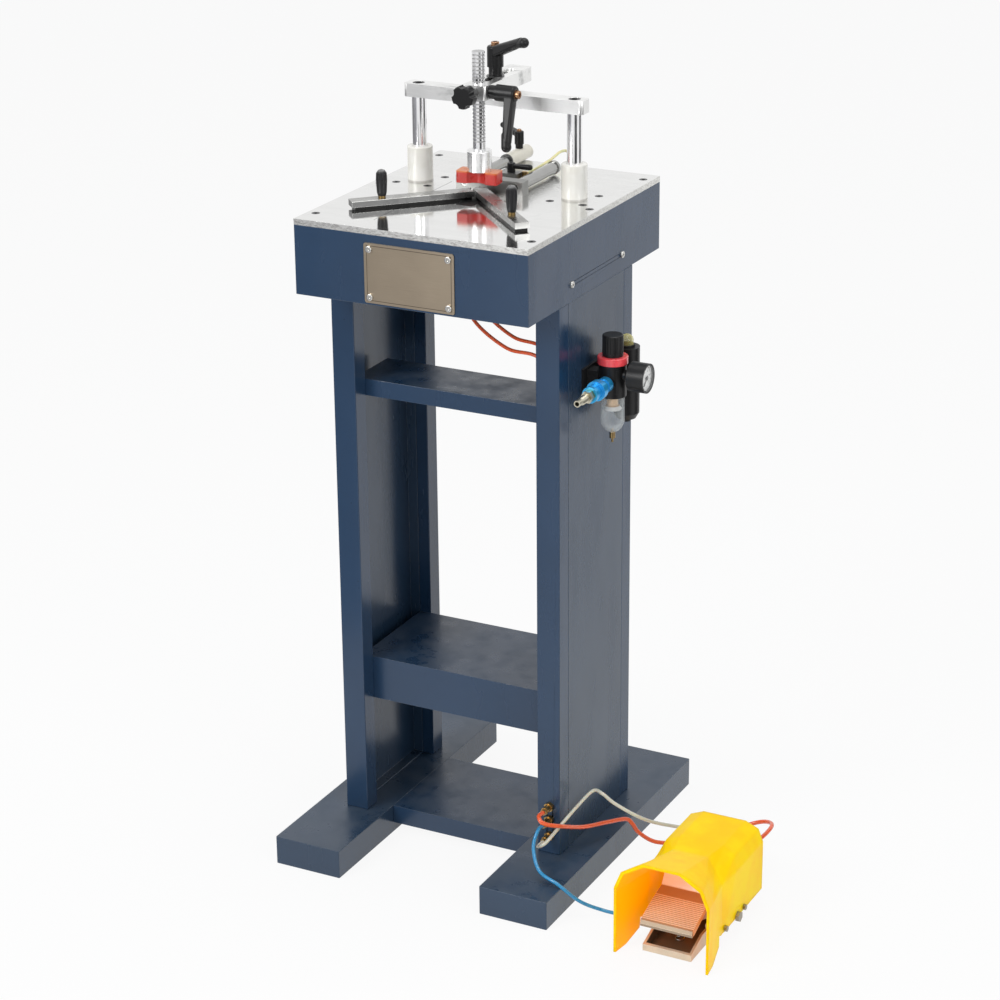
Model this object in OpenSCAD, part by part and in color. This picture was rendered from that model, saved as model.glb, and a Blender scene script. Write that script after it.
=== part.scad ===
// Picture frame underpinner: a pneumatic V-nail press on a welded stand, worked by a guarded foot valve.
// Millimetres. X to the operator's right, Y away from the operator, Z up, zero on the floor.
// The pieces are drawn about the middle of the stand, and placed() moves them to the part's own origin,
// which lies on the floor under the middle of the whole footprint, pedal included.

/* [Stand] */
// Width of the table and of the housing under it
table_w = 340; // [320:2:380]
// Depth of the table
table_d = 400; // [380:2:440]
// Thickness of the steel table plate
table_t = 8; // [6:1:12]
// Height of the working face above the floor
table_z = 934; // [880:2:1000]
// Height of the housing skirt under the plate
housing_h = 94; // [90:2:120]
// Wall of the housing skirt
housing_wall = 3; // [2:0.5:4]
// Width of a stand post, across the machine
post_w = 34; // [28:1:40]
// Depth of a stand post
post_d = 28; // [24:1:36]
// Wall of the post tube
post_wall = 3; // [2:0.5:4]
// Depth of a whole side of the stand, over both posts
side_d = 226; // [210:2:250]
// Thickness of the folded panel between two posts
panel_t = 17; // [12:1:20]
// Sheet that the panels and the boxes are folded from
sheet = 2; // [1.5:0.5:3]
// Length of a foot
foot_l = 480; // [440:5:520]
// Width of a foot
foot_w = 102; // [90:2:120]
// Height of a foot
foot_h = 42; // [36:1:50]
// How far a foot stands out past the table, each side
foot_out = 42; // [30:1:50]
// Wall of the foot channel
foot_wall = 4; // [3:0.5:6]
// Thickness of the plate box between the feet
base_t = 27; // [20:1:32]
// Height of the lower shelf's top face
shelf_z = 272; // [240:2:320]
// Thickness of the lower shelf
shelf_t = 64; // [50:2:80]
// Height of the upper cross shelf's top face
tray_z = 685; // [640:5:720]
// Thickness of the upper cross shelf
tray_t = 24; // [18:1:30]
// Depth of the upper cross shelf
tray_d = 90; // [70:5:110]

/* [Press] */
// Distance between the two press rods
rod_pitch = 232; // [220:2:240]
// Where the rods stand, behind the middle of the table
rod_y = 44; // [40:1:50]
// Diameter of a press rod
rod_d = 20; // [18:1:24]
// Outer diameter of a rod's guide collar
collar_d = 35; // [32:1:40]
// Height of a guide collar above the table
collar_h = 48; // [40:1:56]
// Height of the crossbar's lower face above the table
bar_z = 116; // [108:1:130]
// Height of the crossbar section
bar_h = 18; // [16:1:24]
// Depth of the crossbar section
bar_d = 25; // [25:1:29]
// How far the crossbar reaches past a rod's centre line
bar_over = 17; // [15:1:24]
// Side of the square body of a clamp cylinder
cyl_w = 62; // [60:1:66]
// Height of a clamp cylinder
cyl_h = 72; // [68:1:76]
// Bore of a clamp cylinder
cyl_bore = 50; // [46:1:52]
// Thickness of a piston
piston_t = 12; // [10:1:14]
// Screw spacing across a clamp cylinder
cyl_sx = 48; // [46:1:50]
// Screw spacing along a clamp cylinder
cyl_sy = 50; // [46:1:52]

/* [Clamp arm] */
// Width of the slotted arm
arm_w = 34; // [30:1:40]
// Thickness of the slotted arm
arm_t = 19; // [16:1:22]
// Front end of the arm, from the middle of the table
arm_front = -18; // [-24:1:-16]
// Length of the arm
arm_l = 136; // [126:1:150]
// Width of the slot in the arm
slot_w = 10.6; // [10.6:0.2:13]
// Where the clamp column stands, from the middle of the table
column_y = -4; // [-6:0.5:-2]
// Diameter of the ribbed clamp column
column_d = 17.2; // [16:0.2:18]
// Length of the clamp column above its foot
column_l = 131; // [124:1:140]
// Pitch of the ribs
rib_pitch = 5; // [4:0.5:6]
// Depth of the grooves between the ribs
rib_depth = 0.9; // [0.6:0.1:1.2]
// Diameter of the chrome foot
foot_round_d = 33; // [30:1:36]
// Height of the chrome foot
foot_round_h = 28; // [24:1:32]
// Height of the rubber pad's lower face above the table
pad_z = 21; // [20:1:28]
// Height of the rubber pad
pad_h = 16; // [12:1:18]
// Width over the pad's two lobes
pad_w = 58; // [52:1:70]
// Depth of a pad lobe
pad_d = 24; // [22:1:30]
// Hub diameter of the large clamping levers
lever_d = 22; // [20:1:24]
// Reach of the large clamping levers
lever_l = 76; // [64:2:84]
// Height of the large clamping levers
lever_h = 41; // [38:1:48]
// Radius over the lobes of the star knob
star_r = 15.5; // [14:0.5:18]

/* [Fence] */
// Width of a fence bar
fence_w = 19; // [17:1:22]
// Thickness of a fence bar
fence_t = 8; // [7:1:10]
// Height of the strip that a fence bar slides on
strip_t = 3.6; // [3:0.2:5]
// Length of a fence bar from its pivot
fence_l = 178; // [160:2:184]
// Where the pivot lies, from the middle of the table
fence_y = -3; // [-5:0.5:-2]
// Diameter of the fence pivot pin
fence_pin_d = 8; // [6:0.5:9]
// Distance from the pivot to a grip
grip_at = 135; // [120:1:140]
// Diameter of a grip
grip_d = 15; // [13:0.5:17]
// Height of a grip with its ferrule
grip_h = 38; // [34:1:44]

/* [Magazine] */
// Width of the guide block
block_w = 100; // [98:2:112]
// Depth of the guide block
block_d = 18; // [16:1:22]
// Height of the guide block
block_h = 19; // [18:1:22]
// Front face of the guide block, from the middle of the table
block_y = 22; // [20:1:24]
// Distance between the two guide rods
guide_pitch = 74; // [70:1:80]
// Height of the guide rods' centre line above the table
guide_z = 10.6; // [10:0.2:11]
// Diameter of the left guide rod
guide_rod_d = 14; // [12:0.5:15]
// Diameter of the right guide tube
guide_tube_d = 16; // [14:0.5:17]
// Diameter of the stop sleeve
sleeve_d = 19.6; // [18:0.2:20]
// Length of the stop sleeve
sleeve_l = 64; // [50:1:70]
// Width of the nail channel
channel_w = 24; // [22:1:26]
// Depth of the nail channel below the table face
channel_h = 20; // [18:1:24]
// Height of the nails
nail_h = 14; // [10:1:14]
// Bore of the nail driving cylinder
drive_bore = 60; // [54:1:60]

/* [Air unit] */
// How far the air unit's centre line stands off the side of the stand
air_off = 35; // [32:1:40]
// Where the regulator stands, along the side
air_y = -24; // [-30:1:-18]
// Distance from the regulator to the lubricator
air_pitch = 44; // [44:1:50]
// Height of the top face of the regulator body
air_z = 739; // [700:1:760]
// Diameter of the regulator body
reg_d = 37; // [34:1:40]
// Height of the regulator body
reg_h = 45; // [42:1:50]
// Diameter of the filter bowl
bowl_d = 32; // [28:1:33]
// Height of the filter bowl
bowl_h = 51; // [44:1:56]
// Diameter of the regulator knob
knob_d = 28; // [24:1:32]
// Height of the regulator knob
knob_h = 29; // [24:1:34]
// Diameter of the pressure gauge
gauge_d = 40; // [36:1:42]
// Depth of the pressure gauge
gauge_t = 24; // [20:1:28]

/* [Foot valve] */
// How far the foot valve's middle lies from the middle of the stand
pedal_x = 384; // [370:2:420]
// Front edge of the guard, from the middle of the stand
pedal_y = -250; // [-270:2:-242]
// Width of the guard at its mouth
guard_w = 136; // [132:2:142]
// Height of the guard at its mouth
guard_h = 140; // [134:1:148]
// Width of the guard behind its mouth
hood_w = 114; // [110:2:118]
// Height of the guard behind its mouth
hood_h = 118; // [114:1:122]
// Length of the guard
guard_l = 212; // [206:2:224]
// Wall of the guard
guard_t = 3.2; // [2.4:0.2:4]
// Width of the cast base
base_w = 70; // [66:1:74]
// Length of the cast base
base_l = 188; // [184:2:196]
// Height of the cast base
base_h = 21; // [20:1:26]
// Width of the treadle
treadle_w = 75; // [64:1:78]

/* [Tubes] */
// Outer diameter of the orange tube
orange_d = 6; // [4:0.5:8]
// Outer diameter of the clear tube and of the tubes under the housing
clear_d = 5; // [4:0.5:6]
// Outer diameter of the blue tube
blue_d = 5; // [4:0.5:6]
// Outer diameter of the yellow tube
yellow_d = 4; // [3:0.5:5]

/* [Hidden] */

// Clearances
run_gap = 0.05;    // radial, round a shaft that runs or is pushed into its hole
seat_gap = 0.1;    // between flat faces that slide on each other
free_gap = 0.3;    // between pieces that only pass each other
cut = 1;           // how far a cutter reaches past the face that it opens
fine = 64;         // facets of a round surface on screen
coarse = 28;       // facets of a round that is hulled

// Stand
side_x = table_w / 2;                          // outer face of a side
post_x = side_x - post_w / 2;
post_y = (side_d - post_d) / 2;
bay_d = side_d - 2 * post_d;                   // between the two posts of a side
plate_z = table_z - table_t;                   // lower face of the table plate
housing_z = plate_z - housing_h;
foot_x = side_x + foot_out - foot_w / 2;
base_w2 = side_x + foot_out - foot_w;          // half the width between the feet
shelf_x = side_x - panel_t;                    // the shelves end on the panels' flanges

// Press
bar_top = table_z + bar_z + bar_h;
bar_l = rod_pitch + 2 * bar_over;
press_down = 4;                                // travel of the press from where it is drawn
press_up = 36;
cyl_cap = 7;                                   // end wall of a clamp cylinder
cyl_bottom = plate_z - cyl_h;
piston_spare = (cyl_h - 2 * cyl_cap - piston_t - press_down - press_up) / 2;
piston_z = cyl_bottom + cyl_cap + piston_spare + press_down;
bar_screw_d = 10;
bar_screw_head_d = 16;
bar_screw_head_h = 9;
thread_l = 24;                                 // threaded hole in the top of a rod
bar_corner = 5;

// Housing flanges, which start beside the clamp cylinders
flange_x = (rod_pitch + cyl_w) / 2 + free_gap;
flange_screw_x = (flange_x + side_x - housing_wall) / 2;
flange_w = side_x - flange_x;
ledge_w = 36;                                  // lower flange, over the posts
front_screw_in = 35;                           // from the table's front edge
rear_screw_in = 27;
front_screw_y = table_d / 2 - front_screw_in;
rear_screw_y = table_d / 2 - rear_screw_in;
side_screw_y = 77;
side_screw_down = 70.5;                        // from the table plate's lower face
side_screw_z = plate_z - side_screw_down;

// Screws
table_screw_d = 6;
table_screw_l = 22;
table_head_d = 11.4;
table_head_h = 3.4;
button_d = 9.5;
button_h = 3;
button_shank_d = 5;
button_shank_l = 10;

// Nameplate
name_w = 131;
name_h = 80;
name_down = 51;                                // from the table plate's lower face to its middle
name_z = plate_z - name_down;
name_t = 1.5;
name_screw_in = 8;

// Where the screws sit: on the table from above, and on the nameplate as seen from the front
table_screw_places = [
    for (x = [-1, 1], y = [-front_screw_y, 4, rear_screw_y]) [x * flange_screw_x, y, table_z],
    for (x = [-1, 1], i = [-1, 1], j = [-1, 1])
        [x * rod_pitch / 2 + i * cyl_sx / 2, rod_y + j * cyl_sy / 2, table_z]];

name_screw_places = [
    for (x = [-1, 1], z = [-1, 1]) [x * (name_w / 2 - name_screw_in), z * (name_h / 2 - name_screw_in)]];

// Clamp arm
arm_z = bar_top + seat_gap;
arm_top = arm_z + arm_t;
slot_y0 = 15;
slot_y1 = 90;
stud_d = 10;                                   // stud of the large levers
side_stud_d = 8;
side_z = arm_z + arm_t / 2;
washer_t = 1;
lever_rise = 26;
side_lever_rise = 8;
lever_turn = -30;                              // heading of the top lever, from +X
side_lever_turn = 20;                          // lean of the side lever, from straight down
pad_turn = 6;
foot_round_z = table_z + pad_z + pad_h;
column_z = foot_round_z + foot_round_h;
column_end = column_z + column_l;
star_gap = 20;                                 // from the arm to the star knob's head
star_t = 14;

// Fence
fence_z = table_z + seat_gap + strip_t;
fence_mid = fence_z + fence_t / 2;
lap_r = fence_w / 2 * sqrt(2) + free_gap;      // the half lap reaches the corner of the mitre
strip_w = 17;
fence_turn = 45;
ferrule_h = 3;
ferrule_d = 10;

// Magazine
rod_z = table_z + guide_z;
block_back = block_y + block_d;
rod_screw_d = 12;
rod_seat = 14;                                 // length of a guide rod inside the block
left_rod_end = table_d / 2 + 5;
right_rod_end = table_d / 2 - 55;
sleeve_out = 4;                                // how far the stop sleeve reaches past its rod
sleeve_y = left_rod_end + sleeve_out - sleeve_l;
sleeve_lever_y = sleeve_y + 40;
sleeve_stud_d = 4;
channel_wall = 3;
channel_floor = 2;
channel_z = table_z - channel_h;               // upper face of the channel floor
channel_end = table_d / 2 - 50;
insert_y = -50;                                // front end of the driver insert
insert_cover = 3;                              // thickness of the insert over the nails
drive_y = -33;                                 // where the nails come up
head_w = 76;                                   // block that guides the driver
head_y0 = drive_y - head_w / 2;
head_y1 = drive_y + head_w / 2;
nail_r = 8;                                    // half the width of a nail
nail_t = 1.4;
strip_y = drive_y + 4;                         // first nail in the strip
strip_end = 62;
nail_gap = 0.2;                                // round the nails and the blade
way_w = 2 * (nail_r + nail_gap);               // width of the way that the nails slide in
pusher_y = 78;                                 // front face of the pusher's carriage
pusher_d = 20;
pusher_w = 2 * 11;
pusher_top = table_z + 13;
drive_h = 58;
drive_cap = 8;
drive_z = channel_z - channel_floor - drive_h; // lower face of the driving cylinder
drive_travel = channel_h - 0.4;
driver_d = 26;                                 // rod that carries the blade, wider than its corners
drive_piston_t = 10;
slot_end = table_d / 2 - 72;                              // rear end of the slot in the table plate

// Air unit
unit_x = side_x + air_off;
lub_y = air_y + air_pitch;
gauge_z = air_z - 15;
valve_z = air_z - 24;
ring_h = 10;
neck_h = 8;                                    // neck that the knob turns on, above the ring
ring_d = reg_d + 4;
bowl_t = 2;
drain_d = 8;
lub_d = 35;
lub_h = 100;                                   // from the lubricator's foot to its shoulder
lub_rise = 10;                                 // its shoulder above the regulator body
lub_z = air_z + lub_rise - lub_h;
lub_top = air_z + lub_rise;
dome_d = 18;
bracket_t = 3;
gauge_stem_d = 10;
gauge_gap = 9;                                 // from the regulator to the gauge
gauge_x = unit_x + reg_d / 2 + gauge_gap;
gauge_recess = 3.6;                            // depth of the dial below the rim
gauge_hub = 0.8;                               // stub that the needle turns on
gauge_rim = 2.5;
needle_r = 13;
inlet_y = air_y - reg_d / 2;                   // front of the regulator
neck_l = 12;
track_l = 34;                                  // track of the slide valve's sleeve
collar_l = 6;
nut_l = 10;
slide_d = 18;
slide_sleeve_d = 27;
slide_sleeve_l = 14;
track_y = inlet_y - neck_l;
slide_y = track_y - 17;                        // middle of the sleeve
tail_y = track_y - track_l - collar_l - nut_l; // where the hose tail starts
tail_d = 9;
tail_l = 28;

// Unions on the right front post
union_x = side_x - 15;
union_z = [115, 95, 70];
union_d = 8;
union_l = 22;
union_back = 7;

// Foot valve
guard_back = pedal_y + guard_l;
base_y1 = guard_back - guard_t;
base_y0 = base_y1 - base_l;
base_wall = 4;
pivot_y = -126;
pivot_z = 22;
pivot_d = 8;
boss_d = 18;
lug_t = 7;
lug_gap = 1;
treadle_front = [-232, 38];
treadle_rib = [-182, 62];
treadle_kink = [-163, 66];
treadle_top = [-146, 92];
treadle_t = 4;
front_t = 9;
rib_count = 15;
rib_h = 0.8;
valve_y0 = -108;                               // front of the valve block
valve_w = 44;
valve_h = 62;
spool_z = 62;
spool_d = 10;
port_z = [58, 36];
port_d = 9;
port_y = -30;                                  // rear end of the ports
port_x = 11;
side_port = [-86, 44];                         // y and z of the blue tube's port
side_port_l = 8;
guard_bolts = [[-168, 25], [-104, 25]];
bolt_d = 5;
bolt_boss_d = 12;

// One bend of the guard from its foot to the middle of its top: [half width, distance from the mouth, height]
guard_bends = [
    [[guard_w / 2, 0, 0], [guard_w / 2, 0, guard_h - 43],
     [guard_w / 2 - 10, 0, guard_h - 18], [28, 0, guard_h]],
    [[guard_w / 2 - 3, 22, 0], [guard_w / 2 - 4, 22, guard_h - 46],
     [guard_w / 2 - 15, 24, guard_h - 22], [27, 26, guard_h - 6]],
    [[hood_w / 2, 74, 0], [hood_w / 2 - 3, 76, hood_h - 26],
     [hood_w / 2 - 19, 88, hood_h - 12], [25, 96, hood_h - 1]],
    [[hood_w / 2, 112, 0], [hood_w / 2, 116, hood_h - 26],
     [hood_w / 2 - 7, 128, hood_h - 8], [31, 134, hood_h]],
    [[hood_w / 2, guard_l, 0], [hood_w / 2, guard_l, hood_h - 26],
     [hood_w / 2 - 7, guard_l, hood_h - 8], [31, guard_l, hood_h]]];

// Tube routes about the middle of the stand: each starts and ends square to the fitting that it meets
orange_route = [[155, -135, 115], [155, -147, 115], [164, -152, 109], [178, -129, 97], [190, -79, 75],
                [206, -37, 66], [222, -8, 61], [230, -3, 53], [239, 2, 38], [264, 9, 26], [302, 36, 24],
                [346, 70, 34], [386, 86, 50], [412, 68, 60], [412, 22, 60], [395, -14, 58], [395, -30, 58]];
blue_route = [[155, -135, 95], [155, -150, 95], [156, -166, 76], [176, -188, 56], [208, -196, 47],
              [234, -186, 24], [258, -172, 10], [286, -164, 6], [310, -142, 7], [325, -108, 9],
              [334, -88, 24], [342, -86, 44], [354, -86, 44]];
clear_route = [[155, -135, 70], [155, -150, 70], [167, -150, 79], [175, -113, 94], [182, -80, 107],
               [191, -50, 118], [206, -50, 116], [223, -50, 106], [252, -39, 88], [271, -15, 70],
               [302, 20, 52], [338, 40, 42], [366, 24, 37], [373, -8, 36], [373, -30, 36]];
inner_routes = [[[12, -33, 846], [12, -33, 822], [26, -40, 788], [76, -58, 766], [128, -76, 764],
                 [156, -72, 724], [160, -62, 560], [160, -60, 330], [158, -56, 170], [155, -62, 115],
                 [155, -78, 115]],
                [[-12, -33, 846], [-12, -33, 816], [10, -44, 776], [70, -66, 752], [126, -80, 750],
                 [160, -56, 694], [163, -48, 540], [163, -46, 310], [160, -42, 140], [155, -58, 95],
                 [155, -78, 95]]];
yellow_route = [[17, 100, 944], [17, 128, 944], [17, 172, 946], [17, 208, 950], [17, 232, 940],
                [17, 234, 900], [17, table_d / 2 + 22, 868], [17, table_d / 2 + 6, 868]];
tube_sides = 8;
span_rings = 2;                                // rings in each span of a route
span_rings_thin = 1;

// The part's origin: the floor under the middle of the footprint
reach_x = pedal_x + guard_w / 2;
mid_x = (reach_x - side_x - foot_out) / 2;
mid_y = (foot_l / 2 + min(-foot_l / 2, pedal_y)) / 2;

module placed() {
    translate([-mid_x, -mid_y, 0]) children();
}

// ---------------------------------------------------------------- shapes

module on_both_sides() {
    children();
    mirror([1, 0, 0]) children();
}

module at_points(points) {
    for (p = points) translate(p) children();
}

// Box given by its middle in X, its front and its bottom
module block_at(x, y, z, size) {
    translate([x - size.x / 2, y, z]) cube(size);
}

module rod_up(d, h, z = 0) {
    translate([0, 0, z]) cylinder(d = d, h = h, $fn = fine);
}

module rod_along_y(d, y0, y1) {
    translate([0, y0, 0]) rotate([-90, 0, 0]) cylinder(d = d, h = y1 - y0, $fn = fine);
}

module rod_along_x(d, x0, x1) {
    translate([x0, 0, 0]) rotate([0, 90, 0]) cylinder(d = d, h = x1 - x0, $fn = fine);
}

// Flat outline with round corners, made of true arcs
module round_rect(w, d, r) {
    square([w - 2 * r, d], center = true);
    square([w, d - 2 * r], center = true);
    for (x = [-1, 1], y = [-1, 1])
        translate([x * (w / 2 - r), y * (d / 2 - r)]) circle(r = r, $fn = fine);
}

// Round bar with a rounded upper rim
module rounded_post(d, h, r) {
    rotate_extrude($fn = fine) {
        square([d / 2, h - r]);
        square([d / 2 - r, h]);
        translate([d / 2 - r, h - r]) circle(r = r, $fn = fine);
    }
}

module hex_socket(across, depth, z) {
    translate([0, 0, z - depth]) cylinder(d = across / cos(30), h = depth + cut, $fn = 6);
}

// Countersunk screw with its upper face at z = 0
module flat_screw(l = table_screw_l) {
    difference() {
        union() {
            translate([0, 0, -table_head_h])
                cylinder(d1 = table_screw_d, d2 = table_head_d, h = table_head_h, $fn = fine);
            translate([0, 0, -l]) cylinder(d = table_screw_d, h = l - table_head_h, $fn = fine);
        }
        hex_socket(4, 2, 0);
    }
}

// Hole for that screw, larger all round by the running gap
module flat_screw_hole(depth) {
    translate([0, 0, -table_head_h - run_gap])
        cylinder(d1 = table_screw_d + 2 * run_gap, d2 = table_head_d + 2 * run_gap,
                 h = table_head_h + run_gap, $fn = fine);
    translate([0, 0, -depth]) cylinder(d = table_screw_d + 2 * run_gap, h = depth, $fn = fine);
    translate([0, 0, -run_gap]) cylinder(d = table_head_d + 2 * run_gap, h = cut, $fn = fine);
}

// Button head screw that points down -Z, with its seat at z = 0
module button_screw() {
    difference() {
        rounded_post(button_d, button_h, 1.4);
        hex_socket(3, 1.6, button_h);
    }
    translate([0, 0, -button_shank_l]) cylinder(d = button_shank_d, h = button_shank_l, $fn = fine);
}

// Clamping lever with its hub on +Z and its handle over +X: skirt, hub, handle and centre screw
module clamp_lever(reach, d, h, rise, skirt = 0.3) {
    skirt_h = h * skirt;
    tip_d = d * 0.62;
    difference() {
        union() {
            rod_up(d * 0.82, skirt_h);
            translate([0, 0, skirt_h]) rounded_post(d, h - skirt_h, d * 0.14);
            hull() {
                translate([0, 0, h - d * 0.62]) cylinder(d = d * 0.8, h = d * 0.5, $fn = coarse);
                translate([reach - tip_d, 0, h + rise - d * 0.52]) sphere(d = tip_d * 0.92, $fn = coarse);
            }
            hull() {
                translate([reach - tip_d * 1.6, 0, h + rise - d * 0.66]) sphere(d = tip_d * 0.86, $fn = coarse);
                translate([reach - tip_d / 2, 0, h + rise - d * 0.5]) sphere(d = tip_d, $fn = coarse);
            }
        }
        translate([0, 0, h - 1]) cylinder(d = d * 0.52 + 2 * free_gap, h = 2 * cut, $fn = fine);
        // finger notch under the end
        translate([reach - tip_d * 1.7, 0, h + rise - d * 1.08]) rotate([90, 0, 0])
            cylinder(d = tip_d * 0.6, h = d, center = true, $fn = coarse);
    }
    translate([0, 0, h - 1]) difference() {
        rounded_post(d * 0.5, d * 0.28, 1);
        hex_socket(d * 0.24, 2.4, d * 0.28);
    }
}

// V-nail in plan: two legs that meet in front, at the origin
module nail_plan(t, r, gap = 0) {
    polygon([[0, -gap * sqrt(2)], [r + gap, r - gap * (sqrt(2) - 1)], [r + gap, r + t + gap * sqrt(2)],
             [0, t + gap * sqrt(2)], [-r - gap, r + t + gap * sqrt(2)], [-r - gap, r - gap * (sqrt(2) - 1)]]);
}

// ---------------------------------------------------------------- swept tubes

function unit(v) = v / norm(v);

// Point at t between p1 and p2 of a curve that runs through all four points
function curve_at(p0, p1, p2, p3, t) =
    0.5 * (2 * p1 + (p2 - p0) * t + (2 * p0 - 5 * p1 + 4 * p2 - p3) * t * t
           + (3 * p1 - p0 - 3 * p2 + p3) * t * t * t);

function smooth_route(route, steps) = [
    for (i = [0:len(route) - 2], k = [0:steps - 1])
        curve_at(route[max(i - 1, 0)], route[i], route[i + 1], route[min(i + 2, len(route) - 1)], k / steps),
    route[len(route) - 1]];

// Heading of a ring: the two end rings are square to the first and last spans of the route
function heading(path, i, ends) =
    i == 0 ? ends[0] : i == len(path) - 1 ? ends[1] : unit(path[i + 1] - path[i - 1]);

// Side vector of each ring, carried along the path without twist
function carried(path, i, side, ends) =
    i == len(path) ? [] :
    let (h = heading(path, i, ends), turned = unit(side - h * (side * h)))
    concat([turned], carried(path, i + 1, turned, ends));

module tube(route, d, steps) {
    path = smooth_route(route, steps);
    last = len(route) - 1;
    ends = [unit(route[1] - route[0]), unit(route[last] - route[last - 1])];
    first = abs(ends[0].z) > 0.7 ? [1, 0, 0] : [0, 0, 1];
    sides = carried(path, 0, first, ends);
    rings = len(path);
    n = tube_sides;
    points = [for (i = [0:rings - 1], k = [0:n - 1])
        let (h = heading(path, i, ends), a = 360 * k / n)
        path[i] + d / 2 * (cos(a) * sides[i] + sin(a) * cross(h, sides[i]))];
    skin = [for (i = [0:rings - 2], k = [0:n - 1])
        [i * n + k, i * n + (k + 1) % n, (i + 1) * n + (k + 1) % n, (i + 1) * n + k]];
    start = [for (k = [0:n - 1]) n - 1 - k];
    end = [for (k = [0:n - 1]) (rings - 1) * n + k];
    polyhedron(points, [for (f = concat(skin, [start, end])) [for (k = [len(f) - 1:-1:0]) f[k]]]);
}

// ---------------------------------------------------------------- stand

module feet() {
    color("#22344a") on_both_sides()
        translate([foot_x, 0, 0]) difference() {
            block_at(0, -foot_l / 2, 0, [foot_w, foot_l, foot_h]);
            block_at(0, -foot_l / 2 + foot_wall, foot_wall,
                     [foot_w - 2 * foot_wall, foot_l - 2 * foot_wall, foot_h - 2 * foot_wall]);
        }
}

module stand_posts() {
    post_h = housing_z - foot_h;
    color("#26405f") difference() {
        on_both_sides() for (y = [-post_y, post_y]) translate([post_x, y, foot_h]) difference() {
            translate([-post_w / 2, -post_d / 2, 0]) cube([post_w, post_d, post_h]);
            translate([-post_w / 2 + post_wall, -post_d / 2 + post_wall, -cut])
                cube([post_w - 2 * post_wall, post_d - 2 * post_wall, post_h + 2 * cut]);
        }
        for (z = union_z) translate([union_x, 0, z])
            rod_along_y(union_d + 2 * run_gap, -side_d / 2 - cut, -side_d / 2 + post_d + cut);
    }
}

module side_panels() {
    panel_h = housing_z - foot_h;
    color("#4a5560") difference() {
        on_both_sides() difference() {
            translate([shelf_x, -bay_d / 2, foot_h]) cube([panel_t, bay_d, panel_h]);
            translate([shelf_x - cut, -bay_d / 2 + sheet, foot_h + sheet])
                cube([panel_t - sheet + cut, bay_d - 2 * sheet, panel_h - 2 * sheet]);
        }
        for (z = union_z) translate([union_x, 0, z])
            rod_along_y(union_d + 2 * free_gap, -bay_d / 2 - cut, -bay_d / 2 + sheet + cut);
    }
}

// Folded box, open below
module folded_box(w, y0, y1, top, h) {
    difference() {
        block_at(0, y0, top - h, [w, y1 - y0, h]);
        block_at(0, y0 + sheet, top - h - cut, [w - 2 * sheet, y1 - y0 - 2 * sheet, h - sheet + cut]);
    }
}

module shelves() {
    color("#22344a") {
        folded_box(2 * base_w2, -bay_d / 2, bay_d / 2, foot_h, base_t);
        folded_box(2 * shelf_x, -bay_d / 2, bay_d / 2, shelf_z, shelf_t);
        folded_box(2 * shelf_x, -bay_d / 2, -bay_d / 2 + tray_d, tray_z, tray_t);
    }
}

// Turns what points down so that it points into the housing from the right
module into_side() {
    rotate([0, 90, 0]) children();
}

module into_front() {
    rotate([90, 0, 0]) children();
}

module housing() {
    inner_w = table_w - 2 * housing_wall;
    inner_d = table_d - 2 * housing_wall;
    ledge_top = housing_z + housing_wall;
    color("#26405f") difference() {
        block_at(0, -table_d / 2, housing_z, [table_w, table_d, housing_h]);
        // the room inside, between the two flanges
        block_at(0, -inner_d / 2, ledge_top, [inner_w, inner_d, housing_h - 2 * housing_wall]);
        // the way down between the lower ledges
        block_at(0, -table_d / 2 + flange_w, housing_z - cut,
                 [table_w - 2 * ledge_w, table_d - 2 * flange_w, housing_wall + 2 * cut]);
        // the way up between the upper flanges
        block_at(0, -table_d / 2 + flange_w, plate_z - housing_wall - cut,
                 [2 * flange_x, table_d - 2 * flange_w, housing_wall + 2 * cut]);
        at_points(table_screw_places) flat_screw_hole(table_t + housing_wall + cut);
        on_both_sides() for (y = [-side_screw_y, side_screw_y])
            translate([side_x, y, side_screw_z])
                rod_along_x(button_shank_d + 2 * run_gap, -housing_wall - cut, cut);
        for (p = name_screw_places) translate([p.x, -table_d / 2, name_z + p.y])
            rod_along_y(button_shank_d + 2 * run_gap, -cut, housing_wall + cut);
        translate([yellow_route[7].x, table_d / 2, yellow_route[7].z])
            rod_along_y(union_d + 2 * run_gap, -housing_wall - cut, cut);
    }
}

module table_plate() {
    color("#b9bcc0") difference() {
        block_at(0, -table_d / 2, plate_z, [table_w, table_d, table_t]);
        at_points(table_screw_places) flat_screw_hole(table_t + cut);
        for (x = [-1, 1]) translate([x * rod_pitch / 2, rod_y, plate_z - cut])
            cylinder(d = rod_d + 2 * free_gap, h = table_t + 2 * cut, $fn = fine);
        block_at(0, insert_y, plate_z - cut, [channel_w + 2 * run_gap, slot_end - insert_y, table_t + 2 * cut]);
    }
}

module screws() {
    color("#34373b") {
        at_points(table_screw_places) flat_screw();
        on_both_sides() for (y = [-side_screw_y, side_screw_y])
            translate([side_x, y, side_screw_z]) into_side() button_screw();
        for (p = name_screw_places) translate([p.x, -table_d / 2 - name_t, name_z + p.y])
            into_front() button_screw();
    }
}

module nameplate() {
    color("#b59a72") translate([0, -table_d / 2, name_z]) rotate([90, 0, 0]) linear_extrude(name_t)
        difference() {
            round_rect(name_w, name_h, 3);
            for (p = name_screw_places) translate(p) circle(d = button_shank_d + 2 * run_gap, $fn = fine);
        }
}

// ---------------------------------------------------------------- press

module at_rods() {
    for (x = [-1, 1]) translate([x * rod_pitch / 2, rod_y, 0]) children();
}

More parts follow.
